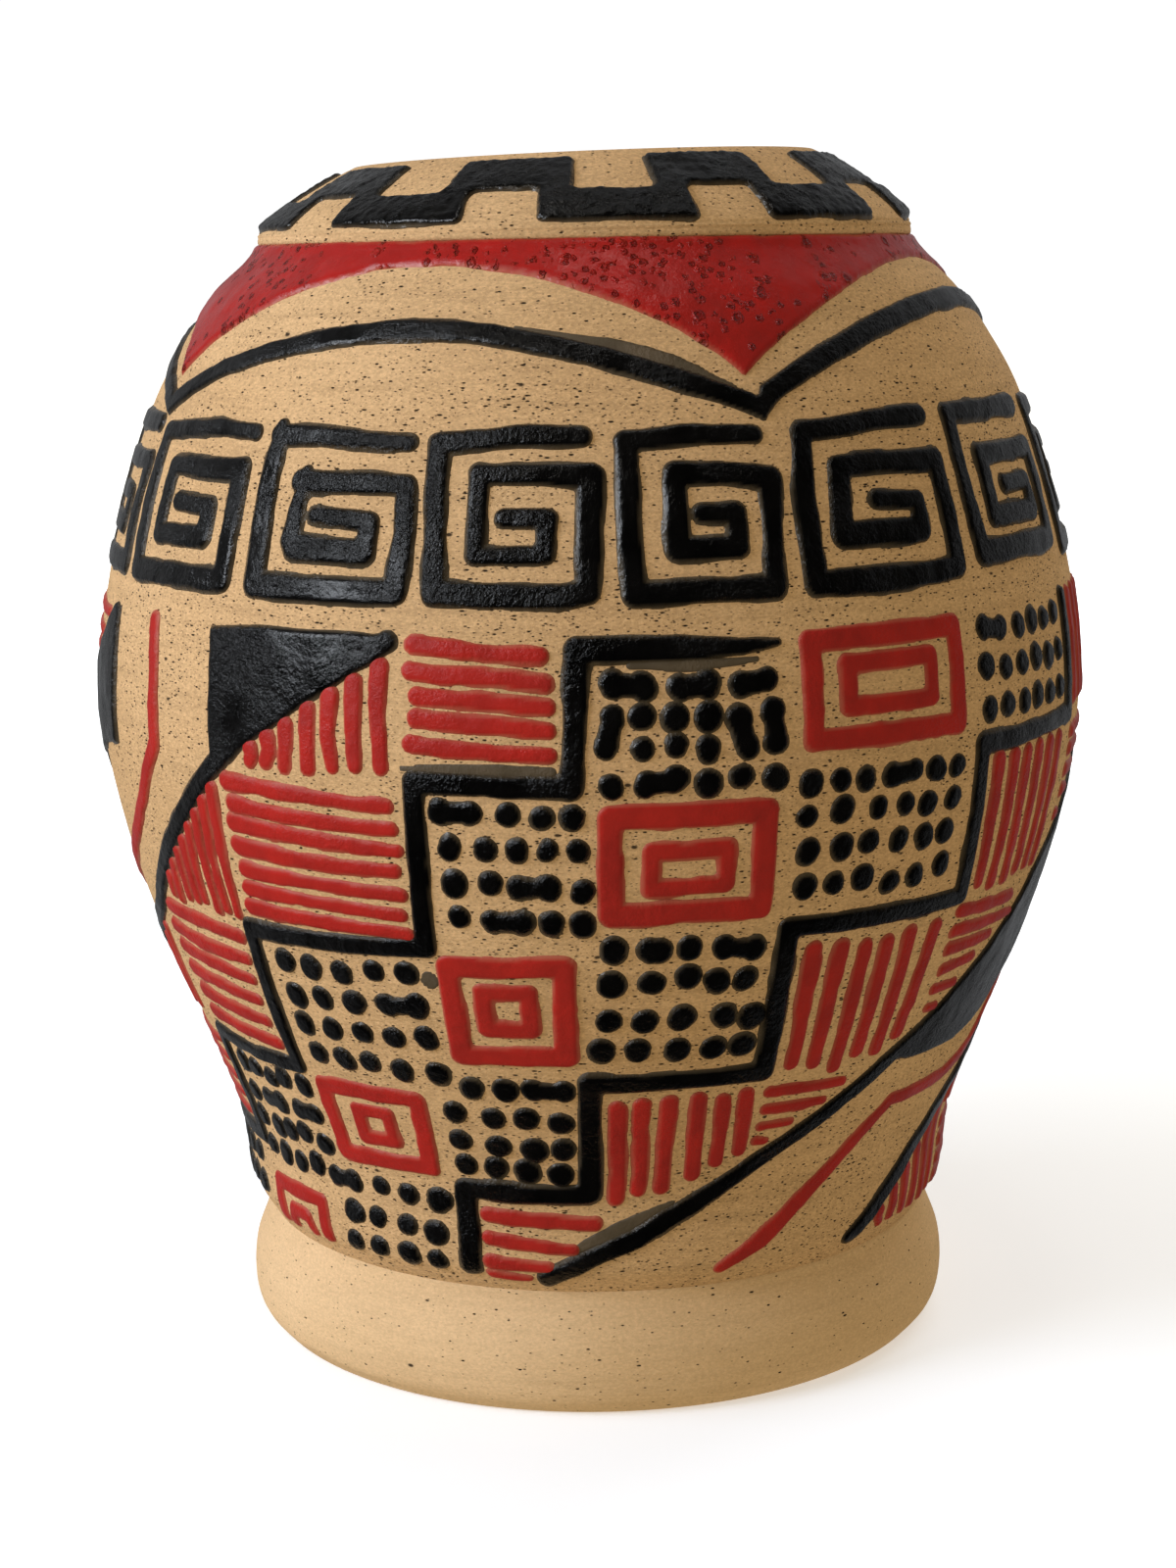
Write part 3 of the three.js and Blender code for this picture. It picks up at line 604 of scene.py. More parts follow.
def slip_material(name, base, deep, thin, rough, gloss, crust, crust_size, pits=0.0):
    """Fired slip: uneven colour, thin at its fringe, a glossy skin with fine crust, and burst bubbles with
    painted shade in their holes.
    """
    material, tree, shader = node_tree(name)
    plain = stretched(tree, (1, 1, 1))
    tone = noise_node(tree, plain, 140, 4, 0.6)
    fine = noise_node(tree, plain, crust_size, 3, 0.65)
    broad = noise_node(tree, plain, 300, 2)
    where = noise_node(tree, plain, 75, 3)
    colour = mixed(tree, ramp(tree, tone, 0.35, 0.7), base, deep)
    cover = tree.nodes.new("ShaderNodeAttribute")
    cover.attribute_name = COVER
    colour = mixed(tree, cover.outputs["Fac"], thin, colour)
    crusted = maths(tree, "MULTIPLY", fine, ramp(tree, where, 0.4, 0.62, 0.25, 1.0))
    bumps = [(broad, 0.2, 0.0006), (crusted, crust, 0.0006)]
    if pits:
        share = maths(tree, "MULTIPLY", ramp(tree, where, 0.45, 0.6, 0.1, 1.0), pits)
        bent = warped(tree, plain, 1500, 0.0009)
        holes, rings = craters(tree, bent, 700, 0.3, share)
        more_holes, more_rings = craters(tree, bent, 360, 0.24, maths(tree, "MULTIPLY", share, 0.8))
        holes = maths(tree, "MAXIMUM", holes, more_holes)
        rings = maths(tree, "MAXIMUM", rings, more_rings)
        relief = maths(tree, "SUBTRACT", maths(tree, "MULTIPLY", rings, 0.5), holes)
        bumps.append((relief, 1.0, 0.0009))
        # Painted shade: the colour darkens inside the holes of the burst bubbles.
        colour = mixed(tree, maths(tree, "MULTIPLY", holes, 0.6), colour, tuple(c * 0.3 for c in deep))
    skin = ramp(tree, tone, 0.3, 0.7, rough - 0.06, rough + 0.1)
    set_inputs(tree, shader, Base_Color=colour, Roughness=skin, Specular_IOR_Level=gloss)
    add_bumps(tree, shader, *bumps)
    return material


CLAY = clay_material("clay", (0.65, 0.43, 0.235), (0.56, 0.355, 0.18), 0.9, 0.55, 0.6)
FOOT_CLAY = clay_material("foot_clay", (0.74, 0.52, 0.31), (0.66, 0.45, 0.25), 0.12, 0.3, 0.3)
OLIVE = (0.085, 0.065, 0.042)
ROSE = (0.42, 0.11, 0.07)
INK = (0.0012, 0.001, 0.001)
BLACK = slip_material("black_slip", INK, (0.0035, 0.003, 0.003), OLIVE, 0.22, 0.5, 0.9, 1250)
ROUGH_BLACK = slip_material("rough_black_slip", INK, (0.003, 0.0025, 0.002), OLIVE, 0.2, 0.5, 0.9, 900)
THIN_BLACK = slip_material("thin_black_slip", OLIVE, (0.12, 0.09, 0.06), OLIVE, 0.5, 0.3, 0.5, 1300)
RED = slip_material("red_slip", (0.43, 0.017, 0.013), (0.32, 0.011, 0.009), ROSE, 0.38, 0.25, 0.5, 1300)
PITTED_RED = slip_material("pitted_red_slip", (0.4, 0.014, 0.012), (0.3, 0.01, 0.009), ROSE, 0.25, 0.4, 0.3,
                           1100, pits=0.5)

# Clay pieces, turned ring by ring

TURN_STEPS = 288
RING_STEP = 0.8
WAVE, WAVE_LUMPS = 0.1, 38
RINGS, RING_LUMPS = 0.05, 2.4
RING_STRETCH = np.array([0.12, 0.12, 1])


def turned_piece(name, rings, material, nodes, closed=True):
    """A lathe form from rings of (radius, height, roughness), with the unevenness of a thrown wall."""
    angles = np.radians(np.linspace(-180, 180, TURN_STEPS, endpoint=False))
    sides, fronts = np.sin(angles), -np.cos(angles)
    points = []
    for radius, height, rough in rings:
        level = np.full(TURN_STEPS, float(height))
        plain = np.stack([radius * sides, radius * fronts, level], -1)
        wave = WAVE * noise(plain, WAVE_LUMPS, 11) + RINGS * noise(plain * RING_STRETCH, RING_LUMPS, 12)
        wobble = radius + rough * wave
        points.append(np.stack([wobble * sides, wobble * fronts, leaned(wobble * sides, level)], -1))
    count = len(rings)
    j, i = grid_of(np.arange(count if closed else count - 1), np.arange(TURN_STEPS))
    k, m = (j + 1) % count * TURN_STEPS, (i + 1) % TURN_STEPS
    j = j * TURN_STEPS
    faces = side_by_side(j + i, j + m, k + m, k + i).tolist()
    if not closed:
        points.append(np.array([[0, 0, rings[0][1]], [0, 0, rings[-1][1]]], float))
        first, last = count * TURN_STEPS, (count - 1) * TURN_STEPS
        turn = [(s, (s + 1) % TURN_STEPS) for s in range(TURN_STEPS)]
        faces += [[first, after, s] for s, after in turn]
        faces += [[first + 1, last + s, last + after] for s, after in turn]
    piece = new_object(name, np.concatenate(points), faces, material)
    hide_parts(*nodes)


def levels(low, high, step):
    return np.linspace(low, high, max(1, round((high - low) / step)) + 1)


TUCK = 0.3
HEEL_HEIGHT = 0.8
RECESS = 6.5
RECESS_RADIUS = 46


def make_foot():
    outside = [(float(wall_radius(z)), z, 0.6) for z in levels(HEEL_HEIGHT, FOOT_HEIGHT, RING_STEP)]
    heel = float(wall_radius(HEEL_HEIGHT))
    under = [(RECESS_RADIUS, 0.6, 0), (RECESS_RADIUS + 0.5, 0.1, 0), (RECESS_RADIUS + 1.2, 0, 0),
             (54.5, 0, 0), (heel - 0.9, 0.15, 0), (heel - 0.3, 0.4, 0)]
    top = FOOT_HEIGHT + TUCK
    tuck = [(GROOVE_RADIUS - TUCK, top, 0), (50.3, top, 0), (50.3, RECESS, 0), (RECESS_RADIUS, RECESS, 0)]
    turned_piece("clay_foot_ring", under + outside + tuck, FOOT_CLAY, ["foot_ring"])


def make_clay_floor():
    rings = [(50.2, 6.6, 0), (50.4, 7, 0), (50.4, 14, 0), (49.8, 14.3, 0.3), (30, 14.3, 0.5),
             (10, 14.3, 0.5)]
    turned_piece("clay_floor", rings, CLAY, ["floor_disc"], closed=False)


WALL_NODES = ["lower_wall", "flare_wall", "belly_wall", "shoulder_wall", "neck_wall"]


def make_wall():
    low = FOOT_HEIGHT
    outside = [(GROOVE_RADIUS - TUCK, low - 0.2, 0)]
    outside += [(float(wall_radius(z)), z, 0.9) for z in levels(low + 0.2, LEDGE_HEIGHT, RING_STEP)]
    top = LEDGE_HEIGHT - 2 * WALL
    inner = []
    for z in levels(WAIST_HEIGHT, top, 4)[::-1]:
        slope = float(slope_of(wall_radius, z))
        inner.append((float(wall_radius(z)) - WALL * math.hypot(1, slope), z, 1.0))
    seat = GROOVE_RADIUS - WALL
    rings = outside + [(NECK_BORE, LEDGE_HEIGHT, 0)] + inner + [(seat, low - 0.2, 0)]
    turned_piece("clay_wall", rings, CLAY, WALL_NODES)


# Fine grooves low on the collar, each a height and a depth
GROOVES = [(182.55, 0.16), (183.25, 0.2)]
GROOVE_WIDTH = 0.14
COLLAR_STEP = 0.22
# Stations of the collar's low edge, each an inset, a rise and a roughness, and of its rim, without roughness
EDGE_SHAPE = [(0.9, 0, 0), (0.35, 0.05, 0), (0.08, 0.25, 0.2)]
RIM_SHAPE = [(0.25, 0.05), (0.9, 0.36), (1.7, 0.42), (2.6, 0.2), (3.4, -0.5), (LIP, -LIP / 2)]


def make_collar():
    low = LEDGE_HEIGHT - 0.25
    rings = [(NECK_BORE, low, 0)]
    rings += [(COLLAR_RADIUS - inset, low + rise, rough) for inset, rise, rough in EDGE_SHAPE]
    for z in levels(low + 0.5, RIM_HEIGHT - 0.3, COLLAR_STEP):
        cut = sum(depth * math.exp(-((z - height) / GROOVE_WIDTH) ** 2) for height, depth in GROOVES)
        rings.append((float(collar_radius(z)) - cut, z, 0.5))
    mouth = RIM_RADIUS - LIP
    rim = [(RIM_RADIUS - inset, RIM_HEIGHT + rise, 0.3) for inset, rise in RIM_SHAPE]
    throat = [((mouth * 2 + NECK_BORE) / 3, LEDGE_HEIGHT + 8, 0.5),
              ((mouth + NECK_BORE) / 2, LEDGE_HEIGHT + 5.5, 0.5), (NECK_BORE - 1, LEDGE_HEIGHT + 2, 0.3)]
    turned_piece("clay_neck_collar", rings + rim + throat, CLAY, ["neck_collar"])


make_foot()
make_clay_floor()
make_wall()
make_collar()

# Shoulder and collar bands

# The swags hang between these angles. Those to the sides rise higher than the front and the back one.
VALLEYS = [-65.4, 20.4, 114.6, 200.4]
RISES = np.array([11.5, 14.5, 11.5, 14.5])
LINE_VALLEY_HEIGHT = 157
LINE_WIDTH = 3.2
LINE_FULLNESS = np.array([0.78, 0.68, 0.78, 0.68]), np.array([0.92, 0.9, 0.92, 0.9])
RED_VALLEYS = [-66.9, 19.1, 113.1, 199.1]
RED_VALLEY_HEIGHT = 161.3
RED_RISES = np.full(4, 24.4)
RED_FULLNESS = np.full(4, 0.49), np.full(4, 0.45)
RED_TIP_RADIUS = 9.9


def swag(phi, valleys, fullness, rises):
    """0 at a valley and the swag's rise half way to the next. fullness is that of left and right sides."""
    turn = (np.asarray(phi) - valleys[0]) % 360 + valleys[0]
    ends = np.array([*valleys, valleys[0] + 360])
    i = np.clip(np.searchsorted(ends, turn, side="right") - 1, 0, len(valleys) - 1)
    t = (turn - ends[i]) / (ends[i + 1] - ends[i])
    power = np.where(t < 0.5, fullness[0][i], fullness[1][i])
    return rises[i] * np.sin(np.pi * np.clip(t, 0, 1)) ** power


def uneven(phi, z, per_phi, per_z, base):
    """The slow swell and fall of brushed slip."""
    return 0.08 * noise(base, 2.6, 21) + 0.025 * noise(base, 1.2, 24)


def crusty(phi, z, per_phi, per_z, base):
    """The wrinkled skin of thick black slip."""
    return 0.16 * np.abs(noise(base, 1.3, 22)) + 0.09 * noise(base, 0.8, 23) - 0.08


RED_TOP = LEDGE_HEIGHT - 0.05
STROKE = Slip(height=0.6, edge=0.8, ragged=0.14, step=0.45, relief=uneven, fringe=0.35)
DROP = Slip(height=0.6, edge=1.0, sway=0.1, ragged=0.18, step=0.42, fringe=0.3)
WASH = Slip(height=0.1, edge=0.3, step=0.5, relief=None, roll=0.0)
THIN_RED = Slip(height=0.45, edge=0.7, relief=uneven, fringe=0.3)
SHOULDER_RED = Slip(height=0.6, edge=1.2, relief=uneven, fringe=0.3)
CRUST = Slip(height=0.75, edge=0.8, step=0.42, relief=crusty, roll=0.15, fringe=0.3)


def make_shoulder():
    def red_low(phi):
        rise = swag(phi, RED_VALLEYS, RED_FULLNESS, RED_RISES)
        return RED_VALLEY_HEIGHT - RED_TIP_RADIUS + np.hypot(rise, RED_TIP_RADIUS)

    def red_high(phi):
        return np.full(np.shape(phi), RED_TOP)

    red = band(red_low, red_high, RED_VALLEY_HEIGHT - 1, RED_TOP)
    add_slip("slip_shoulder_red_scallops", [red], SHOULDER_RED, PITTED_RED,
             "red_slip", ["shoulder_red_scallops"], around=True)

    def middle(phi):
        return LINE_VALLEY_HEIGHT + swag(phi, VALLEYS, LINE_FULLNESS, RISES)

    def half_height(phi):
        """Half of the line's height, larger where it is steep."""
        degree = math.radians(1) * float(wall_radius(LINE_VALLEY_HEIGHT))
        slope = (middle(phi + 0.5) - middle(phi - 0.5)) / degree
        return LINE_WIDTH / 2 * np.hypot(1, slope)

    low_end = LINE_VALLEY_HEIGHT - LINE_WIDTH
    high_end = LINE_VALLEY_HEIGHT + max(RISES) + LINE_WIDTH
    drawn = band(lambda phi: middle(phi) - half_height(phi), lambda phi: middle(phi) + half_height(phi),
                 low_end, high_end)
    add_slip("slip_shoulder_scallop_line", [drawn], STROKE, BLACK,
             "black_slip", ["shoulder_scallop_line"], around=True)


make_shoulder()

# Battlement round the collar

LOWER_SQUARES = [-53, -14, 25, 63.5, 104, 144.5, 185, 226, 266.5]
LOWER_HALF_WIDTH = 6.3
UPPER_HALF_WIDTH = 7.3
CORNER_RADIUS = 1.2
BLACK_LOW = LEDGE_HEIGHT + 2.2
BLACK_SPLIT = LEDGE_HEIGHT + 7
BLACK_HIGH = LEDGE_HEIGHT + 11.8
OVERLAP = 0.1


def rounded_min(a, b):
    """The smaller of two depths, with the corner between them rounded."""
    corner = CORNER_RADIUS - np.hypot(np.maximum(CORNER_RADIUS - a, 0), np.maximum(CORNER_RADIUS - b, 0))
    smaller = np.minimum(a, b)
    return np.where(smaller > CORNER_RADIUS, smaller, corner)


def battlement_depth(phi, z, per_phi, per_z):
    depth = np.minimum(z - BLACK_LOW, BLACK_HIGH - z) * per_z
    for i, centre in enumerate(LOWER_SQUARES):
        following = LOWER_SQUARES[(i + 1) % len(LOWER_SQUARES)]
        middle = centre + ((following - centre) % 360) / 2
        squares = (centre, LOWER_HALF_WIDTH, True), (middle, UPPER_HALF_WIDTH, False)
        for angle, half_width, below in squares:
            across = (half_width - np.abs((phi - angle + 180) % 360 - 180)) * per_phi
            up = ((BLACK_SPLIT + OVERLAP - z) if below else (z - BLACK_SPLIT + OVERLAP)) * per_z
            depth = rounded_min(depth, -rounded_min(across, up))
    return depth


battlement = Shape(battlement_depth, [-180, 180, BLACK_LOW - 1, BLACK_HIGH + 0.6])
add_slip("slip_collar_battlement", [battlement], CRUST, ROUGH_BLACK, "black_slip", ["collar_battlement"],
         radius_of=collar_radius, around=True)

# Square spirals. A point is (angle, height, width of the stroke).
SPIRALS = [
    [(-42.4, 153.9, 2.8), (-50, 154.4, 3), (-62.8, 153.4, 3.4), (-63.4, 142, 3.9), (-62.4, 132.3, 4.2),
     (-43.5, 132.4, 3.8), (-43.4, 148.5, 4), (-57.9, 148.5, 3.4), (-58.1, 138.3, 3.6), (-48.3, 138.4, 4.2),
     (-48, 142.8, 3.6), (-54.8, 143.3, 3)],
    [(-20.5, 152.8, 2.6), (-30, 153.6, 3.2), (-38.3, 153.9, 3.8), (-38.2, 155.2, 2.6), (-38.4, 150, 3.9),
     (-38.5, 132.3, 4.2), (-20.6, 132.1, 4), (-19.9, 140, 3.6), (-20.1, 147, 3.4), (-33.6, 147.3, 4),
     (-33.1, 148.6, 2.4), (-34.1, 139, 3.6), (-33.4, 137.9, 4), (-24.5, 137.5, 3.8), (-24.1, 141.8, 3.4),
     (-31, 142.5, 2.8)],
    [(-0.6, 153.7, 3.2), (-8, 153.9, 3.6), (-16.8, 153, 3.4), (-16.4, 140, 3.5), (-16.1, 132.1, 4),
     (-3, 131.8, 3.8), (0, 132.2, 3.6), (0.3, 148.3, 4), (-5, 148.6, 3.3), (-11.9, 148.6, 3.3),
     (-11.8, 137.5, 3), (-4.4, 137.6, 3), (-4.2, 142.6, 3.2), (-8.8, 142.8, 3.1)],
    [(18.9, 153.4, 3), (12, 153.6, 3.4), (4.2, 153.1, 3.4), (4.3, 140, 3.3), (4.6, 132.1, 3.8),
     (19.6, 132.1, 3.6), (20, 140, 3.2), (20.3, 147.2, 4), (15, 148.1, 3.6), (9.4, 148.4, 3.5),
     (9.3, 138, 3.8), (15.8, 138, 3.4), (15.9, 142.7, 3.2), (12.2, 142.8, 3)],
    [(43, 154.9, 3.4), (35, 154.5, 3.6), (25, 153.5, 3.3), (24.2, 145, 3.8), (24.4, 132.3, 4),
     (32, 132, 4.4), (43.8, 132.6, 3.6), (43.9, 140, 3.5), (43.6, 148.4, 4), (28.9, 148.5, 3.6),
     (28.4, 138.6, 4.2), (39.2, 138.5, 4), (39.5, 142.8, 3.2), (33.4, 143.2, 3.2)],
    [(67, 154.9, 4), (57, 154.8, 3.6), (48.2, 154.8, 3.4), (48.1, 142, 3.5), (48.7, 134.2, 4.2),
     (67, 134.2, 4.2), (67.4, 148.5, 3.6), (52.8, 148.4, 3.6), (52.7, 139.2, 3.8), (63.1, 139.2, 3.8),
     (63.3, 143.7, 3.2), (57, 143.8, 3.2)],
]
PLAIN_SPIRAL = [
    (20.6, 154.2, 3.1), (10, 154.3, 3.6), (0, 154, 3.7), (0.1, 143, 3.8), (0.2, 132.5, 4.1),
    (19.9, 132.4, 3.9), (20.2, 140, 3.6), (20.3, 148.3, 3.8), (4.8, 148.5, 3.5),
    (4.7, 138.2, 3.8), (15.3, 138.2, 3.7), (15.4, 143, 3.2), (9, 143.3, 3),
]
SPIRAL_COUNT = 15
SPIRAL_LEFTS = {"first": -62.8, "last": 48.5}


def make_spirals():
    plain_count = SPIRAL_COUNT - len(SPIRALS)
    pitch = (360 + SPIRAL_LEFTS["first"] - SPIRAL_LEFTS["last"]) / (plain_count + 1)
    jitter = random.Random(4)
    paths = list(SPIRALS)
    for i in range(plain_count):
        left = SPIRAL_LEFTS["last"] + pitch * (i + 1)
        paths.append([(left + phi + jitter.uniform(-0.35, 0.35), z + jitter.uniform(-0.35, 0.35),
                       width + jitter.uniform(-0.3, 0.3)) for phi, z, width in PLAIN_SPIRAL])
    for i, path in enumerate(paths):
        number = f"{i + 1:02d}"
        add_slip(f"slip_spiral_{number}", [line(path)], STROKE, BLACK, "black_slip", [f"spiral_{number}"])


make_spirals()

# Stepped panels. A third number is the stroke's width there.
UPPER_STEPS = [
    (19.3, 124.4, 1.2), (15.5, 124.4, 2.8), (9, 124.5, 3.9), (-1.3, 124.6, 4), (-1.5, 115, 3.7),
    (-2, 104.9, 3.5), (-10, 105.2, 3.4), (-18, 105.6, 3.5), (-18.2, 92, 3.5), (-18.5, 79.8, 3.5),
    (-30, 79.2, 3.3), (-42.8, 79.4, 3.4), (-43, 67, 3.4), (-42.9, 55.6, 3.4), (-52, 55.4, 3),
    (-63, 56.3, 3.2), (-63.5, 46, 3.4), (-63.5, 37, 3.4), (-85, 37, 3.3), (-85, 24.2, 3.6),
]
LOWER_STEPS = [
    (67.5, 125, 3.2), (67.5, 106.3, 3.4), (56, 106, 3.5), (45.8, 105.9, 3.6), (46, 94, 3.5),
    (46.2, 81.9, 3.4),
    (33, 81.6, 3.4), (21.8, 82, 3.7), (21.7, 70, 3.6), (21.5, 57.7, 3.6), (10, 57.4, 3.5), (-0.8, 57.6, 3.6),
    (-0.8, 47, 3.5), (-1.1, 37.6, 3.8), (-10, 37.4, 3.6), (-19.2, 38, 3.6), (-19.3, 30, 4.1),
    (-19.6, 24.3, 3.6),
]
GAP_LINE = [
    (19, 23.4, 2.4), (25, 27.3, 3.2), (35, 35.8, 3), (46.3, 46.9, 3), (60, 47, 3), (70, 49.8, 3),
    (92, 73, 3.1), (108, 84.8, 3), (114.4, 90.4, 3), (120, 97, 3), (125.2, 106.4, 3.1), (125, 116, 3),
    (124.4, 125.2, 2.8),
]
LEFT_BORDER = [
    (-21, 125.2), (-30, 118), (-40, 109), (-45, 103.4), (-50, 97.1), (-55, 91), (-61, 83.6), (-66, 77.4),
    (-113, 42), (-137, 23.6),
]
LEFT_SAIL = [
    (-44.3, 125.8), (-37, 126.7), (-21.3, 126.4), (-20, 125.6), (-22.5, 123.4), (-31, 116), (-38, 110.2),
    (-43.8, 104.5),
]
RIGHT_BORDER = [
    (-7.8, 22.8), (0, 27.1), (6, 30), (10, 32.6), (20, 39), (30, 45.9), (40, 53.2), (50, 61.5), (60, 70.8),
    (66, 78.6), (112, 124.6),
]
RIGHT_SAIL = [
    (42, 54.9), (48, 54), (58, 54), (66, 56.5), (74, 66.5), (82, 77.5), (90, 88.4), (98, 98), (106, 102.2),
    (113.6, 104), (113.6, 126), (106, 120), (90, 104.5), (74, 88), (66, 80), (58, 71), (50, 63),
]
BORDER_WIDTH = 3.4

# Squares: left, right, low and high outside edges and the stroke's width, of each outer and inner frame
SQUARES = [
    ((21.7, 42.9, 108.3, 126.1, 3.5), (26, 38.8, 112.9, 122.1, 3)),
    ((0.4, 19.4, 83.7, 102.4, 3.8), (4.9, 15, 88.2, 96.7, 2.9)),
    ((-17.8, -1.9, 60.4, 78.9, 3.7), (-13.9, -6.2, 65.4, 74.5, 3)),
    ((-40.7, -22.7, 39.1, 54.7, 3.4), (-35.6, -28.1, 43.3, 50.9, 2.8)),
]


def square_shape(left, right, low, high, width):
    inset = width / 2
    turn = math.degrees(inset / float(wall_radius(np.array((low + high) / 2))))
    left, right, low, high = left + turn, right - turn, low + inset, high - inset
    return line([(left, low), (right, low), (right, high), (left, high), (left, low)], width)


ARCH_OUTER = [(-60.8, 23.8, 3.2), (-60.6, 30, 3.2), (-47.4, 30, 3.2), (-47.2, 23.8, 3.2)]
ARCH_INNER = [(-57.2, 23.6, 2.6), (-56.4, 26, 2.8), (-52.2, 26, 2.8), (-51.2, 23.6, 2.4)]

# Dots, in rows from the top of each cell down. Two dots in one bracket ran together.
DOTS = [
    [(2.2, 119.5), (5.1, 119.2)], [(8.9, 118.9), (11.8, 119.2)], [(15.2, 118.9), (17.9, 119.4)],
    [(2.1, 114.8), (1.5, 110.9)], [(5, 115)], [(8.4, 114.6)], [(11.7, 114.6)], [(14.9, 114), (15.6, 110.2)],
    [(18.5, 114.8), (18.7, 110.5)], [(5.1, 110.2)], [(8.5, 110.6)], [(11.6, 109.9)],
    [(1.9, 104.9)], [(5.5, 105.2), (8.3, 105.8)], [(11.7, 104.9)], [(15.1, 105.8)], [(18.8, 105.2)],
    [(22.7, 103.8)], [(26.1, 104)], [(29.1, 103.6)], [(32.6, 103.6), (35.3, 104)],
    [(38.5, 103.6)], [(41.7, 103.5)],
    [(22.5, 99)], [(26.6, 99.5)], [(31, 99)], [(34.6, 99)], [(37.8, 98.4)], [(41.7, 98.5)],
    [(23, 93.5)], [(26.9, 93.7)], [(30.3, 93.9)], [(34.2, 93.5)], [(37.9, 93.3)], [(41, 93.5)],
    [(23, 88)], [(26.5, 88)], [(30, 88.3)], [(34, 87)], [(37.4, 87.2)], [(41.3, 88.2)],
    [(46.7, 123.3), (49.8, 122.8)], [(53.6, 122.6)], [(57, 122.8)], [(60.4, 122.6)], [(63.6, 123)],
    [(46.6, 117.5)], [(50.2, 116.9)], [(53.7, 116.9)], [(57.2, 117.2)], [(60.7, 116.8)], [(64, 117)],
    [(47, 111)], [(50.4, 111.1)], [(54, 111)], [(57.3, 111.3)], [(60.7, 111)], [(64.1, 111.2)],
    [(-15.4, 101.3), (-12.3, 101.2)], [(-8.4, 101)], [(-5.1, 100.6)], [(-1.9, 100.5)],
    [(-14.6, 95.8)], [(-10.9, 95.7)], [(-7.6, 95.6)], [(-4.5, 95.6)], [(-1.5, 95.6)],
    [(-14.5, 90.3)], [(-10.7, 90.5)], [(-7.8, 89.8), (-4.7, 89.9)], [(-1, 89.2)],
    [(-14.3, 85)], [(-10.8, 84.5), (-7.6, 84.4)], [(-4.3, 84.3)], [(-1.2, 84.1)],
    [(2.2, 79.8)], [(6.2, 79.8), (7.1, 79.8)], [(10.5, 79.8)], [(14.3, 79.6), (17.8, 79.1)],
    [(2, 74.2)], [(6.4, 74.4)], [(10.5, 75.1)], [(13.9, 74.2)], [(17.2, 74.2)],
    [(1.6, 68.2)], [(5.8, 68)], [(10.2, 68.2)], [(15.2, 68.1)], [(18.8, 67.8)],
    [(0.8, 63.2)], [(5.1, 63.1)], [(10, 63)], [(14.3, 62.8)], [(18, 62.8)],
    [(-38.3, 74.7)], [(-34.4, 74.3)], [(-30.2, 74.2)], [(-25.7, 75.2)], [(-21.5, 75.4)],
    [(-38.2, 68.8)], [(-34.1, 69.2)], [(-29.4, 69.2)], [(-24.8, 69.5), (-21, 69.8)],
    [(-38.4, 63.9)], [(-34, 63.8)], [(-29.4, 64.2)], [(-24.9, 64)], [(-20.6, 64.3)],
    [(-37.9, 59)], [(-33.7, 58.6)], [(-29.6, 58.8)], [(-25.1, 58.1)], [(-20.1, 58.2)],
    [(-15.8, 56)], [(-11.4, 56)], [(-7.9, 56.2), (-4, 56.1)],
    [(-18.7, 51.5)], [(-13.6, 50.9)], [(-9.2, 51)], [(-4.7, 50.4)],
    [(-18.9, 46.5)], [(-13.5, 45.8)], [(-8.5, 45.4)], [(-4.5, 45.6)],
    [(-18.6, 42)], [(-14.2, 42)], [(-9.8, 41.5)], [(-5, 41)],
    [(-58.5, 52)], [(-55, 51.8)], [(-51.3, 51)], [(-47.9, 51.8)], [(-43.7, 51.6)],
    [(-59, 46.3)], [(-54.8, 46.4), (-51.5, 46.3)], [(-46.8, 46.3), (-43.4, 46.3)],
    [(-60, 41.7)], [(-55.2, 41.2)], [(-51.6, 41.4)], [(-47.8, 42)], [(-43.6, 40.9)],
    [(-60, 36.4)], [(-55.7, 36.1)], [(-51.3, 35.8)], [(-47, 36.7)], [(-43, 35.5), (-39.3, 35.4)],
    [(-33.9, 35.8)], [(-29, 35.3)], [(-23.8, 35), (-23.2, 35.1)],
    [(-40, 30), (-39.4, 30)], [(-35.2, 30.2)], [(-29.7, 29.8)], [(-24.8, 29.2)],
    [(-40.5, 24.8)], [(-35.7, 24.9)], [(-30, 24.7)], [(-25, 24.5)],
    [(-81.2, 32.8)], [(-77, 32.5)], [(-72.8, 32.8)], [(-68.5, 32.6)],
    [(-81, 27.4)], [(-76.8, 27.2)], [(-72.6, 27.5)], [(-68.4, 27.2)],
]
DOT_WIDTH = 3.8
LOW_DOT_WIDTH = 4.15
LOW_DOTS_BELOW = 83
NECK_WIDTH = 3.3


def dot_shapes(jitter):
    shapes = []
    for group in DOTS:
        usual = LOW_DOT_WIDTH if group[0][1] < LOW_DOTS_BELOW else DOT_WIDTH
        drops = []
        for phi, z in group:
            size = usual + jitter.uniform(-0.3, 0.3)
            sag = jitter.uniform(0, 0.7)
            low_end = phi + jitter.uniform(-0.2, 0.2), z - sag / 2, size - 0.2
            drops.append(line([(phi, z + sag / 2, size), low_end]))
        if len(group) > 1:
            drops.append(line(group, NECK_WIDTH))
        shapes.append(together(drops))
    return shapes


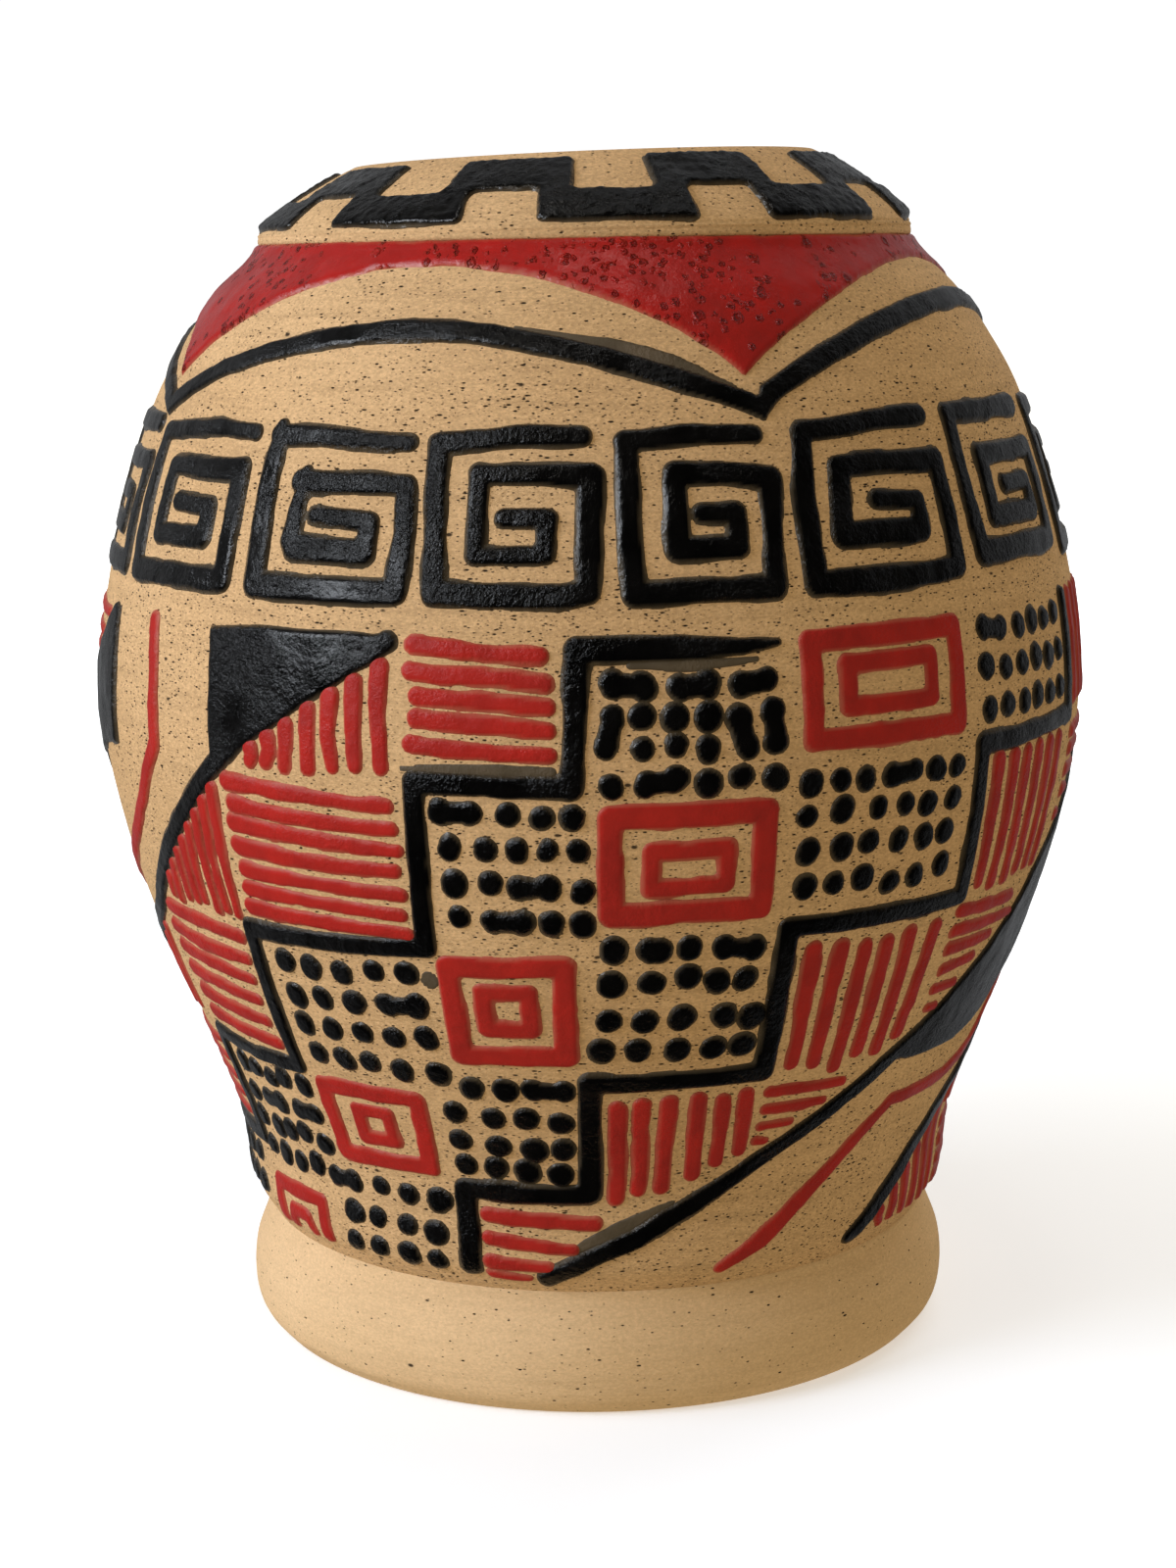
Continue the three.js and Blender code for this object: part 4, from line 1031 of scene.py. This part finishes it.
# Hatching. Across: heights of the bars, their left and right ends, how far the right end falls, and
# their width. Up: angles, low and high ends, width. None stands for the panel's border.
ACROSS = [
    ([125.1, 121.3, 117.9, 114.5, 111], -18.8, -3.7, 1.4, 2.8),
    ([102.9, 99.5, 96.2, 93, 89.3, 86, 83.1], -42.2, -20, 1.3, 2.8),
    ([78.2, 74.5, 71, 67.4, 63.7, 60], -62.8, -45, 1.2, 2.8),
    ([53.5, 50.3, 47, 43.8, 40.7], -86.5, -66.3, 0.3, 2.3),
    ([34.3, 31.2, 28, 24.9], -107.5, -87.5, 0.3, 2.3),
    ([102.6, 99.2, 95.8, 92.4, 89], 70.5, None, 0.3, 2.4),
    ([124.4, 121, 117.6, 114.2, 110.8], 91, None, 0.3, 2.4),
]
UP = [
    ([-37.6, -35.3, -32.8, -30.1, -27.3, -24.6, -21.8], 105.9, None, 2.9),
    ([-58.2, -56.2, -54.2, -52.2, -50.2, -48.2, -46.3, -44.3], 80.6, None, 2.5),
    ([49.2, 52.3, 55.3, 58.4, 61.5, 64.6], 82.2, 103.3, 2.9),
    ([-86.5, -83, -79.5, -76, -72.5, -69], 58.3, None, 2.6),
    ([-108, -104.6, -101.2, -97.8, -94.4, -91], 38.2, None, 2.6),
    ([-130, -126.5, -123, -119.5, -116, -112.5], 23.9, None, 2.6),
    ([70.9, 74.2, 77.6, 81, 84.4, 87.8], 107, 125, 2.8),
]
# Bars along the right border, each from one end to the other
BORDER_BARS = [
    [(-16.3, 33.6, 2.7), (-0.2, 32.3, 2.4)], [(-16.3, 29.6, 2.6), (-3.4, 28.2, 2)],
    [(-16.3, 25.6, 2.5), (-7.2, 24.9, 1.9)], [(-16.3, 23.3, 1.7), (-10.6, 22.8, 1.5)],
    [(2.9, 52.8, 3.1), (2.8, 36.8, 2.7)], [(6, 53.4, 3), (5.8, 38, 2.5)],
    [(9.5, 53.6, 3.1), (9.2, 38.2, 2.6)], [(13.4, 53.8, 2.9), (13.6, 40.4, 2.7)],
    [(16.8, 53.4, 2.8), (16.8, 42.3, 2.4)], [(19.8, 54, 2.9), (19.9, 43.8, 2.6)],
    [(23.2, 53.8, 2.6), (34.6, 53.3, 2)], [(23.2, 50.7, 2.5), (31.9, 50.6, 1.9)],
    [(22.9, 47.6, 2), (27.2, 47.7, 1.6)], [(22.5, 45.1, 1.9), (24, 44.8, 1.6)],
    [(25.2, 77.8, 3.2), (25.4, 58.4, 2.6)], [(28.8, 77.4, 3.3), (28.7, 57.8, 2.7)],
    [(32.2, 76.8, 3), (32.2, 56.4, 2.6)], [(35.4, 77, 3.1), (35.5, 58.3, 2.7)],
    [(38.9, 77.6, 3.1), (38.9, 57.8, 2.7)], [(43, 77.8, 3), (42, 60, 2.8)],
    [(47.2, 79.1, 2.6), (59.6, 78.4, 2.3)], [(47.2, 75.8, 2.5), (61, 75.3, 2.1)],
    [(47.2, 72.8, 2.6), (56.7, 72.7, 2.2)], [(47.2, 69.4, 2.4), (53.8, 69.8, 2)],
    [(46.8, 66.2, 2.3), (51.1, 66.2, 1.9)], [(46.8, 63.1, 2), (48.4, 63.1, 1.7)],
]
ACROSS_GAP = 3.4
UP_GAP = 2.4
SHORTEST_ACROSS = 2.5
SHORTEST_UP = 1.5


def border_height(border, phi):
    angles, heights = zip(*sorted(border))
    return float(np.interp(phi, angles, heights))


def border_angle(border, z):
    heights, angles = zip(*sorted((z, phi) for phi, z in border))
    return float(np.interp(z, heights, angles))


def across_bar(z, left, right, fall, width, jitter):
    """A bar drawn from left to right, which thins out and falls a little."""
    end = border_angle(RIGHT_BORDER, z) - ACROSS_GAP if right is None else right
    if end - left < SHORTEST_ACROSS:
        return []
    start = left + jitter.uniform(-0.5, 0.5)
    end += jitter.uniform(-0.5, 0.5)
    tip = start + 0.8, z + jitter.uniform(-0.2, 0.2), width + 0.3
    bow = (start + end) / 2, z - fall / 2 + jitter.uniform(-0.3, 0.3), width + jitter.uniform(-0.3, 0.1)
    return [line([tip, bow, (end - 0.8, z - fall, width - 0.3)])]


def up_bar(phi, low, high, width, jitter):
    """A bar drawn downwards from a full drop at its top."""
    top = border_height(LEFT_BORDER, phi) - UP_GAP if high is None else high
    if top - low < SHORTEST_UP:
        return []
    bottom = low + jitter.uniform(-0.4, 0.8)
    bow = phi + jitter.uniform(-0.3, 0.3), (bottom + top) / 2, width + jitter.uniform(-0.3, 0.15)
    tip = phi + jitter.uniform(-0.3, 0.3), bottom + 0.6, width - 0.3
    return [line([(phi, top - 0.4, width + 0.2), bow, tip])]


def hatch_shapes(jitter):
    shapes = [line(bar) for bar in BORDER_BARS]
    for heights, left, right, fall, width in ACROSS:
        for z in heights:
            shapes += across_bar(z, left, right, fall, width, jitter)
    for angles, low, high, width in UP:
        for phi in angles:
            shapes += up_bar(phi, low, high, width, jitter)
    return shapes


# Thin slip that ran out beside some strokes
WASHES = [
    [(-9, 168.9, 0.8), (-2, 167.3, 1.6), (3, 166.2, 2.4), (8, 164.6, 3), (13, 162.2, 2.8),
     (17.5, 159.8, 1.2)],
    [(-19, 107.4, 1.6), (-11, 107.6, 2), (-4, 107.2, 1.6)],
    [(-3, 28.2, 1.4), (0, 29.8, 2.2), (5, 32.2, 2.2), (11, 35.6, 1.2)],
    [(4, 122.2, 1.2), (10, 121.9, 2), (17, 122.4, 1.2)],
    [(-18.6, 74.5, 3.4)],
]


def moved(shape, turn):
    """The same shape further round the vase."""

    def depth(phi, z, per_phi, per_z):
        return shape.depth(phi - turn, z, per_phi, per_z)

    phi_low, phi_high, z_low, z_high = shape.box
    return Shape(depth, [phi_low + turn, phi_high + turn, z_low, z_high])


BLACK_STROKE = STROKE, BLACK, "black_slip"
BLACK_DROP = DROP, BLACK, "black_slip"
RED_STROKE = THIN_RED, RED, "red_slip"
BLACK_WASH = WASH, THIN_BLACK, "black_slip"


def make_panel(side, turn, seed):
    jitter = random.Random(seed)

    def draw(name, shapes, look, nodes=None):
        """One piece of the panel. Its node has the same name, unless others are given."""
        names = [name] if nodes is None else nodes
        add_slip(f"slip_{side}_{name}", [moved(shape, turn) for shape in shapes], *look,
                 [f"{side}_{node}" for node in names])

    draw("upper_steps", [line(UPPER_STEPS)], BLACK_STROKE)
    draw("lower_steps", [line(LOWER_STEPS)], BLACK_STROKE)
    draw("left_border", [together([line(LEFT_BORDER, BORDER_WIDTH), area(LEFT_SAIL)])], BLACK_STROKE)
    draw("right_border", [together([line(RIGHT_BORDER, BORDER_WIDTH), area(RIGHT_SAIL)])], BLACK_STROKE)
    draw("gap_line", [line(GAP_LINE)], RED_STROKE)
    for number, (outer, inner) in enumerate(SQUARES, 1):
        draw(f"square_{number}_outer", [square_shape(*outer)], RED_STROKE)
        draw(f"square_{number}_inner", [square_shape(*inner)], RED_STROKE)
    draw("arch_outer", [line(ARCH_OUTER)], RED_STROKE)
    draw("arch_inner", [line(ARCH_INNER)], RED_STROKE)
    draw("dots", dot_shapes(jitter), BLACK_DROP, nodes=[])
    draw("hatching", hatch_shapes(jitter), RED_STROKE, nodes=["left_hatching", "right_hatching"])
    draw("washes", [line(path) for path in WASHES], BLACK_WASH, nodes=[])


make_panel("front", 0, 5)
make_panel("back", 180, 6)

# Camera, lights and floor

FOCAL_PIXELS = 2800
LONG_SIDE_PIXELS = 1600
CAMERA_BACK = 462.2
CAMERA_HEIGHT = 178.6
PITCH = 10.87
ROLL = 0.77
SIDE_SHIFT_PIXELS = 3.7


def make_camera():
    data = bpy.data.cameras.new("camera")
    data.sensor_width = 36
    data.lens = FOCAL_PIXELS / LONG_SIDE_PIXELS * data.sensor_width
    data.shift_x = -SIDE_SHIFT_PIXELS / LONG_SIDE_PIXELS
    camera = bpy.data.objects.new("camera", data)
    place = Matrix.Translation((0, -CAMERA_BACK * MM, CAMERA_HEIGHT * MM))
    look = Matrix.Rotation(math.radians(90 - PITCH), 4, "X")
    camera.matrix_world = place @ look @ Matrix.Rotation(math.radians(-ROLL), 4, "Z")
    bpy.context.scene.collection.objects.link(camera)
    bpy.context.scene.camera = camera


def add_softbox(name, azimuth, elevation, distance, size, level, colour, glints=False):
    """A square light aimed at the belly. level is the brightness of a white card that faces it."""
    turn, rise = math.radians(azimuth), math.radians(elevation)
    target = Vector((0, 0, BELLY_HEIGHT * MM))
    way = Vector((math.sin(turn) * math.cos(rise), -math.cos(turn) * math.cos(rise), math.sin(rise)))
    data = bpy.data.lights.new(name, "AREA")
    data.size = size
    data.energy = level * math.pi ** 2 * distance ** 2
    data.color = colour
    light = bpy.data.objects.new(name, data)
    light.location = target + way * distance
    light.rotation_euler = way.to_track_quat("Z", "Y").to_euler()
    light.visible_glossy = glints
    bpy.context.scene.collection.objects.link(light)


FLOOR_REACH = 6


def make_studio_floor():
    """A pale floor that fades into the white backdrop."""
    corners = [(x * FLOOR_REACH, y * FLOOR_REACH, 0) for x, y in ((-1, -1), (1, -1), (1, 1), (-1, 1))]
    mesh = bpy.data.meshes.new("floor")
    mesh.from_pydata(corners, [], [(0, 1, 2, 3)])
    floor = bpy.data.objects.new("floor", mesh)
    material, tree, shader = node_tree("floor")
    coordinates = tree.nodes.new("ShaderNodeTexCoord").outputs["Object"]
    distance = add_node(tree, "ShaderNodeVectorMath", "LENGTH", Vector=coordinates)
    glow = ramp(tree, distance.outputs["Value"], 0.1, 0.9, 0.4, 1)
    set_inputs(tree, shader, Base_Color=(0.8, 0.85, 0.95, 1), Roughness=1, Specular_IOR_Level=0,
               Emission_Color=(1, 1, 1, 1), Emission_Strength=glow)
    mesh.materials.append(material)
    bpy.context.scene.collection.objects.link(floor)
    floor.visible_diffuse = False
    floor.visible_glossy = False


def make_world():
    """A warm room, brighter from the white table below. Slip reflects a dim one. The camera sees white."""
    world = bpy.data.worlds.new("world")
    world.use_nodes = True
    tree = world.node_tree
    room = tree.nodes["Background"]
    room.inputs["Color"].default_value = (1, 0.855, 0.58, 1)
    coordinates = tree.nodes.new("ShaderNodeTexCoord")
    way = add_node(tree, "ShaderNodeSeparateXYZ", Vector=coordinates.outputs["Generated"])
    tree.links.new(ramp(tree, way.outputs["Z"], -0.8, 0.3, 0.68, 0.43), room.inputs["Strength"])
    sheen = ramp(tree, way.outputs["Y"], -0.2, 0.9, 0.012, 0.28)
    reflected = add_node(tree, "ShaderNodeBackground", Color=(0.95, 0.97, 1, 1), Strength=sheen)
    backdrop = add_node(tree, "ShaderNodeBackground", Color=(1, 1, 1, 1), Strength=1.05)
    path = tree.nodes.new("ShaderNodeLightPath")
    last = room
    for ray, background in (("Is Glossy Ray", reflected), ("Is Camera Ray", backdrop)):
        mix = add_node(tree, "ShaderNodeMixShader", Fac=path.outputs[ray])
        tree.links.new(last.outputs[0], mix.inputs[1])
        tree.links.new(background.outputs[0], mix.inputs[2])
        last = mix
    tree.links.new(last.outputs[0], tree.nodes["World Output"].inputs["Surface"])
    bpy.context.scene.world = world
    bpy.context.scene.view_settings.view_transform = "Standard"


make_camera()
make_studio_floor()
make_world()
add_softbox("key", -74, 18, 1.15, 0.8, 0.58, (0.8, 0.87, 1.0))
add_softbox("window", -60, 24, 1.3, 0.5, 0.4, (0.88, 0.93, 1.0), glints=True)
add_softbox("ceiling", -32, 46, 1.3, 0.22, 0.045, (1.0, 0.95, 0.86), glints=True)
add_softbox("overhead", 20, 84, 1.3, 0.2, 0.035, (1.0, 0.97, 0.92), glints=True)
add_softbox("back_fill", 150, 30, 1.3, 1.0, 0.45, (0.95, 0.97, 1.0))
